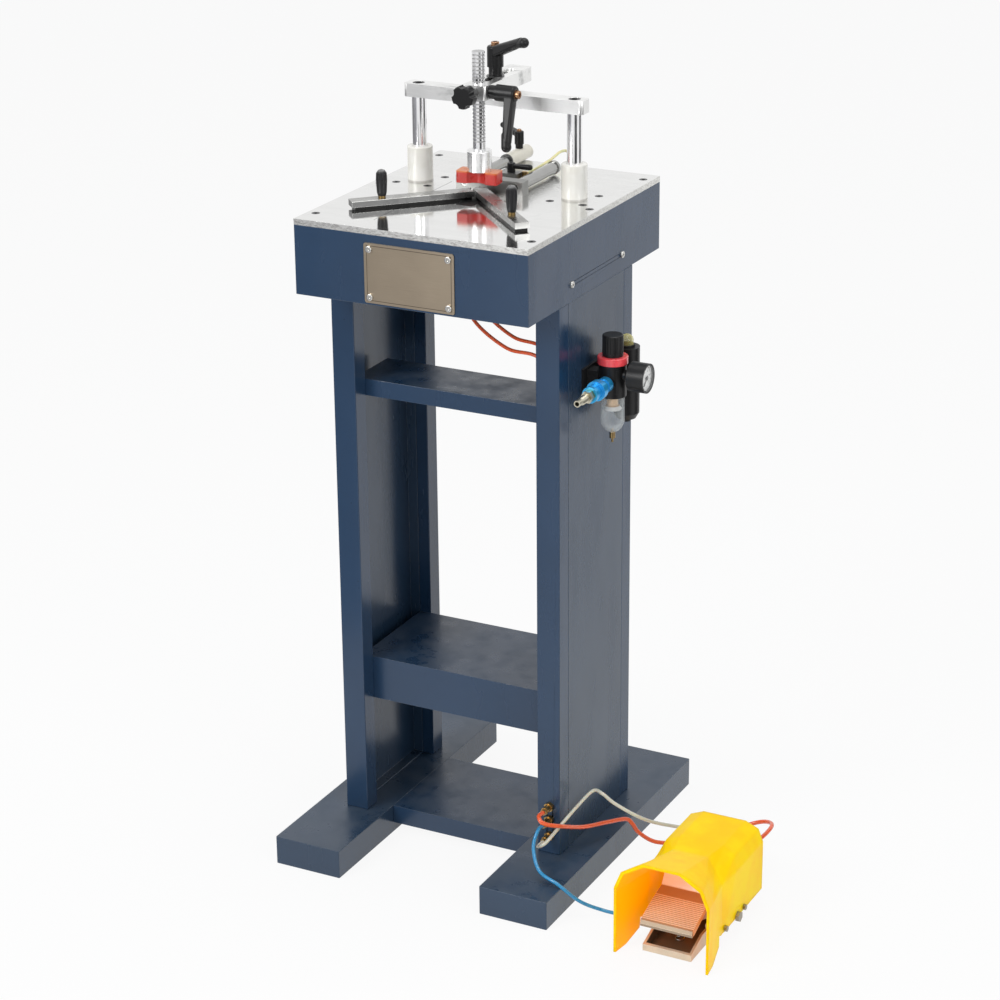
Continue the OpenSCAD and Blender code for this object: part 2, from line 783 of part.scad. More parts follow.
module post_collars() {
    color("#e6e3d8") at_rods() translate([0, 0, table_z]) difference() {
        rounded_post(collar_d, collar_h, 1.6);
        rod_up(rod_d + 2 * run_gap, collar_h + 2 * cut, -cut);
        translate([0, 0, collar_h - 1]) cylinder(d1 = rod_d, d2 = rod_d + 4, h = 2, $fn = fine);
    }
}

module clamp_cylinders() {
    color("#aeb2b6") difference() {
        at_rods() difference() {
            translate([0, 0, cyl_bottom]) linear_extrude(cyl_h) round_rect(cyl_w, cyl_w, 5);
            rod_up(cyl_bore, cyl_h - 2 * cyl_cap, cyl_bottom + cyl_cap);
            rod_up(rod_d + 2 * run_gap, cyl_cap + 2 * cut, plate_z - cyl_cap - cut);
        }
        at_points(table_screw_places) flat_screw_hole(table_screw_l + cut);
    }
}

module press_rods() {
    color("#d5d8db") at_rods() difference() {
        union() {
            rod_up(cyl_bore - 2 * run_gap, piston_t, piston_z);
            rod_up(rod_d, table_z + bar_z - piston_z, piston_z);
        }
        rod_up(bar_screw_d + 2 * run_gap, thread_l + cut, table_z + bar_z - thread_l);
    }
}

module crossbar() {
    color("#c9ccce") translate([0, 0, table_z + bar_z]) difference() {
        translate([0, rod_y, 0]) linear_extrude(bar_h) round_rect(bar_l, bar_d, bar_corner);
        at_rods() {
            rod_up(bar_screw_d + 2 * run_gap, bar_h + 2 * cut, -cut);
            rod_up(bar_screw_head_d + 2 * free_gap, bar_screw_head_h + free_gap + cut,
                   bar_h - bar_screw_head_h - free_gap);
        }
        translate([0, rod_y, 4]) rod_up(stud_d + 2 * run_gap, bar_h);
    }
}

module crossbar_screws() {
    head_z = bar_top - bar_screw_head_h - free_gap;
    screw_l = bar_h + thread_l - 4 - bar_screw_head_h;
    color("#3a3d40") at_rods() difference() {
        union() {
            rod_up(bar_screw_head_d, bar_screw_head_h, head_z);
            rod_up(bar_screw_d, screw_l, head_z - screw_l);
        }
        hex_socket(8, 5, head_z + bar_screw_head_h);
    }
}

// ---------------------------------------------------------------- clamp arm

module slide_arm() {
    color("#cdd0d2") difference() {
        translate([0, arm_front + arm_l / 2, arm_z]) linear_extrude(arm_t) difference() {
            round_rect(arm_w, arm_l, 3);
            for (y = [slot_y0, slot_y1]) translate([0, y - arm_front - arm_l / 2])
                circle(d = slot_w, $fn = fine);
            translate([-slot_w / 2, slot_y0 - arm_front - arm_l / 2]) square([slot_w, slot_y1 - slot_y0]);
        }
        translate([0, column_y, arm_z - cut]) rod_up(column_d + 2 * run_gap, arm_t + 2 * cut);
        translate([0, column_y, side_z]) rod_along_x(side_stud_d + 2 * run_gap, 0, arm_w);
        translate([0, 0, side_z]) rod_along_y(side_stud_d + 2 * run_gap, arm_front - cut, column_y);
    }
}

module arm_lever() {
    stud_l = arm_t + bar_h - 6;
    color("#26282a") translate([0, rod_y, arm_top + seat_gap]) rotate([0, 0, lever_turn]) {
        rod_up(lever_d + 2, washer_t);
        rod_up(stud_d, stud_l + washer_t, -stud_l);
        translate([0, 0, washer_t]) clamp_lever(lever_l, lever_d, lever_h - washer_t, lever_rise);
    }
}

// The side lever's hub points to +X, and its handle leans to the front
module column_lever() {
    stud_l = arm_w / 2 + seat_gap - column_d / 2 - free_gap;
    color("#26282a") translate([arm_w / 2 + seat_gap, column_y, side_z])
        rotate([-side_lever_turn, 0, 0]) rotate([0, 90, 0]) {
            rod_up(side_stud_d, stud_l, -stud_l);
            clamp_lever(lever_l, lever_d, 38, side_lever_rise, 0.26);
        }
}

module star_knob() {
    lobe = 5.6;
    stud_l = column_y - column_d / 2 - free_gap - arm_front;
    color("#222426") translate([0, arm_front - seat_gap, side_z]) rotate([90, 0, 0]) {
        rod_up(side_stud_d, stud_l, -stud_l);
        rod_up(star_r * 0.9, star_gap);
        translate([0, 0, star_gap]) difference() {
            rounded_post(2 * star_r, star_t, 2.4);
            for (a = [0:72:288]) rotate([0, 0, a + 18]) translate([star_r + lobe * 0.35, 0, -cut])
                cylinder(r = lobe, h = star_t + 2 * cut, $fn = fine);
        }
    }
}

module clamp_column() {
    groove_h = rib_pitch * 0.4;
    ribs = floor((column_l - 8) / rib_pitch);
    core = column_d / 2 - rib_depth;
    color("#d9dcde") translate([0, column_y, column_z]) rotate_extrude($fn = fine) difference() {
        square([column_d / 2, column_l]);
        for (i = [0:ribs - 1]) translate([core, column_l - 5 - i * rib_pitch]) square([rib_depth + cut, groove_h]);
    }
}

module pad_foot() {
    color("#d9dcde") translate([0, column_y, foot_round_z]) rotate_extrude($fn = fine) {
        square([foot_round_d / 2, foot_round_h - 2]);
        square([foot_round_d / 2 - 2, foot_round_h]);
        translate([foot_round_d / 2 - 2, foot_round_h - 2]) circle(r = 2, $fn = fine);
    }
}

// Two lobes with a hollow between them, front and rear, and turned a little on the column
module pressure_pad() {
    hollow_r = 16;
    hollow_t = 7;
    color("#c8281c") translate([0, column_y - 1, table_z + pad_z]) rotate([0, 0, pad_turn]) linear_extrude(pad_h)
        difference() {
            round_rect(pad_w, pad_d, 3);
            for (y = [-1, 1]) translate([0, y * (pad_d / 2 + hollow_r - hollow_t)]) circle(r = hollow_r, $fn = fine);
        }
}

// ---------------------------------------------------------------- fence

// One bar lying along -Y from its pivot, with the strip that it slides on
module fence_bar() {
    translate([0, 0, fence_z]) linear_extrude(fence_t) {
        circle(d = fence_w, $fn = fine);
        translate([-fence_w / 2, -fence_l]) square([fence_w, fence_l]);
    }
    translate([-strip_w / 2, -fence_l + 4, fence_z - strip_t])
        cube([strip_w, fence_l - 4 - lap_r, strip_t]);
}

module fence_holes() {
    translate([0, 0, table_z - cut]) rod_up(fence_pin_d + 2 * run_gap, fence_t + strip_t + 3 * cut);
    translate([0, -grip_at, fence_z - cut]) rod_up(6 + 2 * run_gap, fence_t + 2 * cut);
}

module fence_left() {
    color("#a9acaf") translate([0, fence_y, 0]) rotate([0, 0, -fence_turn]) difference() {
        fence_bar();
        fence_holes();
        rod_up(2 * lap_r, fence_t, fence_mid - seat_gap / 2);
    }
}

module fence_right() {
    color("#a9acaf") translate([0, fence_y, 0]) rotate([0, 0, fence_turn]) difference() {
        fence_bar();
        fence_holes();
        rod_up(2 * lap_r, fence_t, fence_mid + seat_gap / 2 - fence_t);
    }
}

// Shouldered pin: its wide foot lifts the lower eye clear of the insert
module fence_pin() {
    color("#8d9094") translate([0, fence_y, 0]) {
        rod_up(fence_pin_d + 6, fence_z - seat_gap - table_z, table_z);
        rod_up(fence_pin_d, fence_z + fence_t - table_z, table_z);
    }
}

module grip() {
    handle_h = grip_h - ferrule_h;
    top = fence_z + fence_t;
    translate([0, -grip_at, top]) {
        rod_up(6, fence_t, -fence_t);
        rod_up(ferrule_d, ferrule_h);
        translate([0, 0, ferrule_h]) difference() {
            rotate_extrude($fn = fine)
                polygon([[0, 0], [grip_d * 0.36, 0], [grip_d * 0.44, handle_h * 0.12],
                         [grip_d * 0.5, handle_h * 0.6], [grip_d * 0.47, handle_h * 0.86],
                         [grip_d * 0.3, handle_h * 0.97], [grip_d * 0.12, handle_h], [0, handle_h]]);
            for (a = [0:45:315]) rotate([0, 0, a]) translate([grip_d / 2 + 0.2, 0, 2])
                cylinder(d = 2.2, h = handle_h - 6, $fn = fine);
        }
    }
}

module grip_left() {
    color("#1e2022") translate([0, fence_y, 0]) rotate([0, 0, -fence_turn]) grip();
}

module grip_right() {
    color("#1e2022") translate([0, fence_y, 0]) rotate([0, 0, fence_turn]) grip();
}

// ---------------------------------------------------------------- magazine

module guide_block() {
    color("#9b9ea2") difference() {
        block_at(0, block_y, table_z, [block_w, block_d, block_h]);
        translate([-guide_pitch / 2, 0, rod_z])
            rod_along_y(guide_rod_d + 2 * run_gap, block_back - rod_seat, block_back + cut);
        translate([guide_pitch / 2, 0, rod_z])
            rod_along_y(guide_tube_d + 2 * run_gap, block_back - rod_seat, block_back + cut);
        on_both_sides() translate([guide_pitch / 2, 0, rod_z])
            rod_along_y(rod_screw_d + 2 * free_gap, block_y - cut, block_y + 3);
    }
}

module guide_rods() {
    color("#b9bcc0") {
        translate([-guide_pitch / 2, 0, rod_z])
            rod_along_y(guide_rod_d, block_back - rod_seat + seat_gap, left_rod_end);
        translate([guide_pitch / 2, 0, rod_z]) {
            difference() {
                rod_along_y(guide_tube_d, block_back - rod_seat + seat_gap, right_rod_end);
                rod_along_y(guide_tube_d - 4, right_rod_end - 24, right_rod_end + cut);
            }
            difference() {
                rod_along_y(guide_tube_d + 3, right_rod_end - 5, right_rod_end);
                rod_along_y(guide_tube_d, right_rod_end - 5 - cut, right_rod_end + cut);
            }
        }
        // head of each front screw, let into the block's face
        on_both_sides() translate([guide_pitch / 2, 0, rod_z]) difference() {
            rod_along_y(rod_screw_d, block_y + 0.5, block_y + 3);
            translate([0, block_y + 0.5, 0]) rotate([90, 0, 0]) hex_socket(6, 1.6, 0);
        }
    }
}

module stop_sleeve() {
    color("#d8d2c2") translate([-guide_pitch / 2, 0, rod_z]) difference() {
        rod_along_y(sleeve_d, sleeve_y, sleeve_y + sleeve_l);
        rod_along_y(guide_rod_d + 2 * run_gap, sleeve_y - cut, sleeve_y + sleeve_l + cut);
        translate([0, sleeve_lever_y, 0]) rod_up(sleeve_stud_d + 2 * run_gap, sleeve_d);
    }
}

module sleeve_lever() {
    hub_d = 13;
    stud_l = (sleeve_d - guide_rod_d) / 2;
    color("#222426") translate([-guide_pitch / 2, sleeve_lever_y, rod_z + sleeve_d / 2 + seat_gap])
        rotate([0, 0, 150]) {
            rod_up(sleeve_stud_d, stud_l, -stud_l);
            clamp_lever(45, hub_d, 24, 7, 0.24);
        }
}

module nail_rails() {
    rail_w = channel_w + 2 * channel_wall;
    floor_z = channel_z - channel_floor;
    color("#8b8e92") difference() {
        union() {
            block_at(0, head_y1, floor_z, [rail_w, channel_end - head_y1, plate_z - floor_z]);
            block_at(0, head_y0, floor_z, [head_w, head_w, plate_z - floor_z]);
        }
        // the channel that the nails slide in
        block_at(0, strip_y - nail_r, channel_z, [way_w, channel_end - channel_wall - strip_y + nail_r, channel_h]);
        // the driver's way
        translate([0, drive_y, floor_z - cut]) linear_extrude(channel_h + cut) nail_plan(nail_t, nail_r, nail_gap);
    }
}

module nail_strip() {
    color("#b7a27a") translate([0, strip_y, channel_z]) linear_extrude(nail_h)
        nail_plan(strip_end - nail_r - strip_y, nail_r);
}

module nail_pusher() {
    tongue_w = 2 * nail_r;
    color("#6d7074") difference() {
        union() {
            block_at(0, strip_end + free_gap, channel_z + seat_gap, [tongue_w, pusher_y + pusher_d - strip_end - free_gap,
                     plate_z - channel_z]);
            block_at(0, pusher_y, channel_z + seat_gap, [tongue_w, pusher_d, table_z - channel_z]);
            block_at(0, pusher_y, table_z + seat_gap, [pusher_w + 4, pusher_d, pusher_top - table_z - seat_gap]);
        }
        translate([0, pusher_y + pusher_d / 2, pusher_top - 8]) rod_up(4 + 2 * run_gap, 8 + cut);
    }
}

module pusher_lever() {
    hub_d = 11;
    color("#222426") translate([0, pusher_y + pusher_d / 2, pusher_top + seat_gap]) {
        rod_up(4, 6 + seat_gap, -6);
        difference() {
            rounded_post(hub_d, 13, 1.5);
            hex_socket(4, 2, 13);
        }
        hull() {
            translate([0, 0, 6]) cylinder(d = hub_d * 0.7, h = 5, $fn = coarse);
            translate([28, 0, 9]) sphere(d = 8, $fn = coarse);
        }
    }
}

module drive_cylinder() {
    color("#aeb2b6") translate([0, drive_y, 0]) difference() {
        translate([0, 0, drive_z]) linear_extrude(drive_h) round_rect(head_w - 4, head_w - 4, 5);
        rod_up(drive_bore, drive_h - 2 * drive_cap, drive_z + drive_cap);
        rod_up(driver_d + 2 * run_gap, drive_cap + 2 * cut, drive_z + drive_h - drive_cap - cut);
    }
}

module nail_driver() {
    piston_bottom = drive_z + drive_cap + 2;
    rod_top = channel_z - channel_floor - drive_travel;
    color("#7c7f83") translate([0, drive_y, 0]) {
        rod_up(drive_bore - 2 * run_gap, drive_piston_t, piston_bottom);
        rod_up(driver_d, rod_top - piston_bottom, piston_bottom);
        translate([0, 0, rod_top]) linear_extrude(channel_z - nail_gap - rod_top) nail_plan(nail_t, nail_r);
    }
}

module driver_insert() {
    color("#1b1c1e") difference() {
        block_at(0, insert_y, plate_z, [channel_w, block_y - insert_y, table_t]);
        block_at(0, strip_y - nail_r, plate_z - cut, [way_w, table_d, table_t - insert_cover + cut]);
        translate([0, drive_y, plate_z - cut]) linear_extrude(table_t + 2 * cut) nail_plan(nail_t, nail_r, nail_gap);
    }
}

// ---------------------------------------------------------------- air unit

module at_regulator() {
    translate([unit_x, air_y, 0]) children();
}

module at_lubricator() {
    translate([unit_x, lub_y, 0]) children();
}

// Plate on the side of the stand, with a saddle for each of the two units
module air_bracket() {
    plate_h = 34;
    saddle_w = 20;
    bottom = air_z - plate_h - 8;
    color("#2a2c2f") difference() {
        union() {
            translate([side_x, air_y - 22, bottom]) cube([bracket_t, air_pitch + 44, plate_h]);
            for (y = [air_y, lub_y]) translate([side_x, y - saddle_w / 2, bottom + 4])
                cube([air_off, saddle_w, plate_h - 8]);
        }
        at_regulator() rod_up(reg_d, plate_h + 2 * cut, bottom - cut);
        at_lubricator() rod_up(lub_d, plate_h + 2 * cut, bottom - cut);
    }
}

module regulator_body() {
    color("#17181a") difference() {
        union() {
            at_regulator() {
                rod_up(reg_d, reg_h, air_z - reg_h);
                rod_up(knob_d - 4, ring_h + neck_h, air_z);
                for (a = [45:90:315]) rotate([0, 0, a]) translate([reg_d / 2 - 1.2, -2.4, air_z - reg_h + 6])
                    cube([2, 4.8, reg_h - 12]);
                translate([0, 0, gauge_z]) rod_along_x(gauge_stem_d + 5, 0, reg_d / 2 + 2);
                translate([0, 0, valve_z]) rod_along_y(slide_d + 4, inlet_y - air_y - 2, 0);
            }
            translate([unit_x, 0, valve_z]) rod_along_y(20, air_y, lub_y);
        }
        at_regulator() {
            rod_up(bowl_d + 2 * run_gap, 8 + cut, air_z - reg_h - cut);
            translate([0, 0, gauge_z]) rod_along_x(gauge_stem_d + 2 * run_gap, reg_d / 2 - 4, reg_d);
            translate([0, 0, valve_z]) rod_along_y(12 + 2 * run_gap, inlet_y - air_y - 2 - cut, inlet_y - air_y + 6);
        }
        at_lubricator() rod_up(lub_d, reg_d * 2, air_z - reg_d * 2);
    }
}

module regulator_ring() {
    color("#d83a34") at_regulator() translate([0, 0, air_z]) difference() {
        rounded_post(ring_d, ring_h, 1.5);
        rod_up(knob_d - 4 + 2 * run_gap, ring_h + 2 * cut, -cut);
    }
}

module regulator_knob() {
    color("#1c1d1f") at_regulator() translate([0, 0, air_z + ring_h + seat_gap]) difference() {
        rounded_post(knob_d, knob_h, 2);
        rod_up(knob_d - 4 + 2 * run_gap, neck_h + cut, -cut);
        for (a = [0:20:340]) rotate([0, 0, a]) translate([knob_d / 2 + 0.7, 0, 4])
            cylinder(d = 2.6, h = knob_h, $fn = 16);
    }
}

// Clear bowl that hangs in the regulator, with a domed bottom
module filter_bowl() {
    bowl_z = air_z - reg_h - bowl_h;
    color([0.85, 0.87, 0.85, 0.4]) at_regulator() translate([0, 0, bowl_z]) rotate_extrude($fn = fine)
        difference() {
            union() {
                translate([0, 14]) square([bowl_d / 2, bowl_h + 6 - 14]);
                polygon([[0, 0], [5, 0], [9, 2.5], [13, 7], [bowl_d / 2 - 0.8, 12], [bowl_d / 2, 14.5], [0, 14.5]]);
            }
            translate([0, 14]) square([bowl_d / 2 - bowl_t, bowl_h + 6]);
            polygon([[0, 3], [4, 3], [7, 5], [11, 9.5], [bowl_d / 2 - bowl_t, 14.5], [0, 14.5]]);
            translate([-cut, -cut]) square([drain_d / 4 + run_gap + cut, 2 * cut + 3]);
        }
}

module filter_element() {
    top = air_z - reg_h + 8;
    color("#cda57a") at_regulator() {
        rod_up(15, 22, top - 22);
        translate([0, 0, top - 27]) cylinder(d1 = 25, d2 = 19, h = 5, $fn = fine);
    }
}

module bowl_drain() {
    bottom = air_z - reg_h - bowl_h;
    color("#b08d4c") at_regulator() {
        rod_up(drain_d / 2, 3 + 4, bottom - 4);
        translate([0, 0, bottom - 9]) rounded_post(drain_d, 9 - seat_gap, 1);
        rod_up(drain_d * 0.4, 6, bottom - 15);
    }
}

module lubricator_body() {
    color("#17181a") at_lubricator() {
        rod_up(lub_d, lub_top - lub_z - 8, lub_z + 8);
        translate([0, 0, lub_z]) cylinder(d1 = lub_d - 9, d2 = lub_d, h = 8, $fn = fine);
        rod_up(dome_d + 4, 3, lub_top);
        rod_up(11, 5, lub_z - 5);
    }
}

module sight_dome() {
    dome_z = lub_top + 3;
    color([0.95, 0.85, 0.3, 0.6]) at_lubricator() translate([0, 0, dome_z]) {
        rod_up(dome_d, 5);
        translate([0, 0, 5]) rotate_extrude($fn = fine) intersection() {
            circle(d = dome_d, $fn = fine);
            square(dome_d);
        }
    }
}

module gauge_body() {
    dial_x = gauge_t - gauge_recess;
    color("#1a1b1d") translate([gauge_x, air_y, gauge_z]) {
        difference() {
            rod_along_x(gauge_d, 0, gauge_t);
            rod_along_x(gauge_d - 2 * gauge_rim, dial_x, gauge_t + cut);
        }
        rod_along_x(gauge_stem_d, -gauge_gap - 4 + seat_gap, 0);
        rod_along_x(4, dial_x, dial_x + gauge_hub);
    }
}

module gauge_needle() {
    color("#d8d8d4") translate([gauge_x + gauge_t - gauge_recess + gauge_hub + seat_gap, air_y, gauge_z]) {
        rod_along_x(5, 0, 1.4);
        rotate([135, 0, 0]) translate([0, -0.6, -4]) cube([0.8, 1.2, needle_r + 4]);
    }
}

// The slide valve points to the front, from the regulator's inlet
module slide_valve_body() {
    color("#1f86c6") translate([unit_x, 0, valve_z]) difference() {
        union() {
            rod_along_y(12, inlet_y - 2, inlet_y + 6 - seat_gap);
            rod_along_y(slide_d + 3, track_y, inlet_y - 2);
            rod_along_y(slide_d, track_y - track_l, track_y);
            rod_along_y(slide_d + 4, track_y - track_l - collar_l, track_y - track_l);
        }
        rod_along_y(8, track_y - track_l - collar_l - cut, inlet_y + 6);
    }
}

module slide_valve_sleeve() {
    half = slide_sleeve_l / 2;
    color("#2793d4") translate([unit_x, 0, valve_z]) difference() {
        union() {
            rod_along_y(slide_sleeve_d - 4, slide_y - half, slide_y + half);
            rod_along_y(slide_sleeve_d, slide_y - half + 2, slide_y + half - 2);
        }
        rod_along_y(slide_d + 2 * run_gap, slide_y - half - cut, slide_y + half + cut);
    }
}

// Barbed tail that a hose is pushed over, on its hexagon nut
module hose_tail() {
    translate([unit_x, 0, valve_z]) difference() {
        union() {
            translate([0, tail_y, 0]) rotate([-90, 0, 0]) cylinder(d = 17, h = nut_l, $fn = 6);
            rod_along_y(tail_d, tail_y - tail_l, tail_y);
            for (i = [0:2]) translate([0, tail_y - tail_l + 13 + 5 * i, 0]) rotate([90, 0, 0])
                cylinder(d1 = tail_d + 2.4, d2 = tail_d, h = 4, $fn = fine);
        }
        rod_along_y(6, tail_y - tail_l - cut, tail_y + nut_l + cut);
    }
}

// Union through the right front post: hexagon, nozzle, and the nipple behind
module post_union(z) {
    front = -side_d / 2;
    translate([union_x, 0, z]) {
        translate([0, front - 6, 0]) rotate([-90, 30, 0]) cylinder(d = 14, h = 6, $fn = 6);
        rod_along_y(10, front - union_l + 5, front - 6);
        rod_along_y(union_d, front - union_l, front - union_l + 5);
        rod_along_y(union_d, front, front + post_d + union_back);
    }
}

module fittings() {
    color("#b8924e") {
        hose_tail();
        for (z = union_z) post_union(z);
        for (x = [-12, 12]) translate([x, drive_y, drive_z - 8]) rod_up(union_d, 8);
        translate([yellow_route[7].x, 0, yellow_route[7].z]) {
            rod_along_y(union_d, table_d / 2 - housing_wall - 4, table_d / 2);
            rod_along_y(union_d + 3, table_d / 2, table_d / 2 + 6);
        }
        translate([yellow_route[0].x, yellow_route[0].y, table_z]) {
            translate([0, -6, 0]) rod_up(7, 14);
            translate([0, 0, yellow_route[0].z - table_z]) rod_along_y(6, -6, 0);
        }
        for (i = [0, 1]) translate([pedal_x + (i == 0 ? port_x : -port_x), 0, port_z[i]])
            rod_along_y(port_d, base_y1 - base_wall - 6, port_y);
        translate([pedal_x - valve_w / 2, side_port.x, side_port.y]) rod_along_x(port_d, -side_port_l, 0);
    }
}

// ---------------------------------------------------------------- tubes

module tube_orange() {
    color("#e8552f") tube(orange_route, orange_d, span_rings);
}

module tube_blue() {
    color("#2f7fae") tube(blue_route, blue_d, span_rings);
}

module tube_clear() {
    color("#cfcab8") tube(clear_route, clear_d, span_rings);
}

module tubes_thin() {
    color("#e0764f") for (route = inner_routes) tube(route, clear_d, span_rings_thin);
    color("#c9c04a") tube(yellow_route, yellow_d, span_rings_thin);
}

// ---------------------------------------------------------------- foot valve

module at_pedal() {
    translate([pedal_x, 0, 0]) children();
}

// Outline that lies in the Y-Z plane, drawn w wide about X = 0
module side_profile(points, w) {
    translate([-w / 2, 0, 0]) rotate([90, 0, 90]) linear_extrude(w) polygon(points);
}

// Cast tray with a boss on each wall for the pivot pin and a seat for the valve block
module pedal_base() {
    wall_h = base_h - base_wall;
    color("#b39a5e") at_pedal() difference() {
        union() {
            difference() {
                block_at(0, base_y0, 0, [base_w, base_l, base_h]);
                block_at(0, base_y0 + base_wall, base_wall,
                         [base_w - 2 * base_wall, base_l - 2 * base_wall, wall_h + cut]);
            }
            on_both_sides() translate([base_w / 2 - base_wall, pivot_y, pivot_z]) rod_along_x(boss_d, 0, base_wall);
            block_at(0, valve_y0, base_wall, [valve_w, base_y1 - base_wall - valve_y0, base_h - base_wall - 7]);
            for (p = guard_bolts) on_both_sides() translate([base_w / 2 - base_wall, p.x, p.y])
                rod_along_x(bolt_boss_d, 0, base_wall);
        }
        translate([0, pivot_y, pivot_z]) rod_along_x(pivot_d + 2 * run_gap, -base_w, base_w);
        for (p = guard_bolts) translate([0, p.x, p.y]) rod_along_x(bolt_d + 2 * run_gap, -base_w, base_w);
    }
}

// Solid inside the guard's skin, drawn in by the given wall at the sides, top and back
module guard_form(wall, front, floor_z) {
    last = len(guard_bends) - 1;
    rings = [for (i = [0:last]) let (bend = guard_bends[i],
        right = [for (p = bend) [p.x - wall, p.y - (i == last ? wall : 0) - (i == 0 ? front : 0),
                                 p.z == 0 ? floor_z : p.z - wall]])
        concat(right, [for (k = [len(right) - 1:-1:0]) [-right[k].x, right[k].y, right[k].z]])];
    n = len(rings[0]);
    skin = [for (i = [0:last - 1], k = [0:n - 1])
        [i * n + k, i * n + (k + 1) % n, (i + 1) * n + (k + 1) % n, (i + 1) * n + k]];
    mouth = [for (k = [0:n - 1]) n - 1 - k];
    back = [for (k = [0:n - 1]) last * n + k];
    polyhedron([for (ring = rings) each ring], concat(skin, [mouth, back]));
}

module pedal_guard() {
    edge_z = 20;                               // lower edge behind the ears
    ear_l = 58;
    hole_w = 60;                               // rear cut-out for the tubes
    hole_h = 88;
    color("#f4c51c") at_pedal() difference() {
        translate([0, pedal_y, 0]) difference() {
            guard_form(0, 0, 0);
            guard_form(guard_t, cut, -cut);
            side_profile([[26, -cut], [26, 0], [ear_l, 10], [ear_l + 2, edge_z + 5], [ear_l + 12, edge_z],
                          [guard_l + cut, edge_z], [guard_l + cut, -cut]], 2 * guard_w);
            block_at(0, guard_l - guard_t - cut, -cut, [hole_w, guard_t + 2 * cut, hole_h]);
        }
        for (p = guard_bolts) translate([0, p.x, p.y]) rod_along_x(bolt_d + 2 * run_gap, -guard_w, guard_w);
        translate([0, pivot_y, pivot_z]) rod_along_x(pivot_d + 2 * free_gap, -guard_w, guard_w);
    }
}

module treadle() {
    rib_run = [for (k = [0:rib_count - 1]) let (t = (k + 0.5) / rib_count,
        p = treadle_front + [3, front_t + 1] + t * (treadle_rib - treadle_front - [3, front_t + 1])) p];
    body_pts = concat(
        [treadle_front, treadle_front + [-1.5, front_t / 2], treadle_front + [1, front_t]],
        [for (p = rib_run) each [p + [-1.1, 0], p + [0, rib_h], p + [1.1, 0]]],
        [treadle_rib, treadle_kink, treadle_top, treadle_top + [treadle_t, -1], treadle_kink + [treadle_t, -3],
         treadle_kink + [1, -treadle_t], treadle_rib + [2, -treadle_t - 1], treadle_front + [8, 1]]);
    skirt_pts = [treadle_front + [2, 2], treadle_rib + [0, -3], treadle_kink + [1, -3],
                 [pivot_y + 4, pivot_z + 10], [pivot_y + 8, pivot_z], [pivot_y, pivot_z - 8],
                 [pivot_y - 8, pivot_z - 2], [treadle_kink.x - 26, treadle_front.y + 2]];
    lug_x = base_w / 2 - base_wall - lug_gap - lug_t / 2;
    color("#c98f63") at_pedal() difference() {
        union() {
            side_profile(body_pts, treadle_w);
            for (x = [-lug_x, lug_x]) translate([x, 0, 0]) side_profile(skirt_pts, lug_t);
        }
        translate([0, pivot_y, pivot_z]) rod_along_x(pivot_d + 2 * run_gap, -base_w, base_w);
    }
}

// Pivot pin with its heads, and the spaced bolts that hold the guard to the base
module pedal_fasteners() {
    out_x = hood_w / 2 + free_gap;
    color("#8f8a80") at_pedal() {
        translate([0, pivot_y, pivot_z]) {
            rod_along_x(pivot_d, -out_x - 3, out_x + 3);
            for (x = [-1, 1]) translate([x > 0 ? out_x : -out_x - 5, 0, 0])
                rotate([0, 90, 0]) cylinder(d = 15, h = 5, $fn = 6);
        }
        for (p = guard_bolts, m = [0, 1]) mirror([m, 0, 0]) translate([0, p.x, p.y]) {
            rod_along_x(bolt_d, base_w / 2 - base_wall, hood_w / 2 + 2);
            rod_along_x(9, base_w / 2, hood_w / 2 - guard_t - 1.2);
            rod_along_x(8, hood_w / 2 + free_gap, hood_w / 2 + 4);
        }
    }
}

module valve_body() {
    valve_y1 = base_y1 - base_wall;
    seat_z = base_h - 7;
    color("#c3b48c") at_pedal() difference() {
        union() {
            block_at(0, valve_y0, seat_z, [valve_w, valve_y1 - valve_y0, valve_h]);
            translate([0, 0, spool_z]) rod_along_y(spool_d + 8, valve_y0 - 8, valve_y0);
        }
        translate([0, 0, spool_z]) rod_along_y(spool_d + 2 * run_gap, valve_y0 - 8 - cut, valve_y1 - 12);
        for (i = [0, 1]) translate([i == 0 ? port_x : -port_x, 0, port_z[i]])
            rod_along_y(port_d + 2 * run_gap, valve_y1 - 6 - free_gap, valve_y1 + cut);
    }
}

module valve_spool() {
    tip_y = treadle_back(spool_z + spool_d / 2) + free_gap;
    color("#8d9094") at_pedal() translate([0, 0, spool_z])
        rod_along_y(spool_d, tip_y, base_y1 - base_wall - 22);
}

// Y of the treadle's rear face at a given height
function treadle_back(z) = treadle_kink.x + treadle_t + (z - treadle_kink.y + 3)
    * (treadle_top.x - treadle_kink.x) / (treadle_top.y - 1 - treadle_kink.y + 3);

// ---------------------------------------------------------------- nodes

placed() feet();
placed() stand_posts();
placed() side_panels();
placed() shelves();
placed() housing();
placed() table_plate();
placed() screws();
placed() nameplate();
placed() post_collars();
placed() clamp_cylinders();
placed() press_rods();
placed() crossbar();
placed() crossbar_screws();
placed() slide_arm();
placed() arm_lever();
placed() column_lever();
placed() star_knob();
placed() clamp_column();
placed() pad_foot();
placed() pressure_pad();
placed() fence_left();
placed() fence_right();
placed() fence_pin();
placed() grip_left();
placed() grip_right();
placed() guide_block();
placed() guide_rods();
placed() stop_sleeve();
placed() sleeve_lever();
placed() nail_rails();
placed() nail_strip();
placed() nail_pusher();
placed() pusher_lever();
placed() drive_cylinder();
placed() nail_driver();
placed() driver_insert();
placed() air_bracket();
placed() regulator_body();
placed() regulator_ring();
placed() regulator_knob();
placed() filter_bowl();
placed() filter_element();
placed() bowl_drain();
placed() lubricator_body();
placed() sight_dome();
placed() gauge_body();
placed() gauge_needle();
placed() slide_valve_body();
placed() slide_valve_sleeve();
placed() fittings();
placed() tube_orange();
placed() tube_blue();
placed() tube_clear();
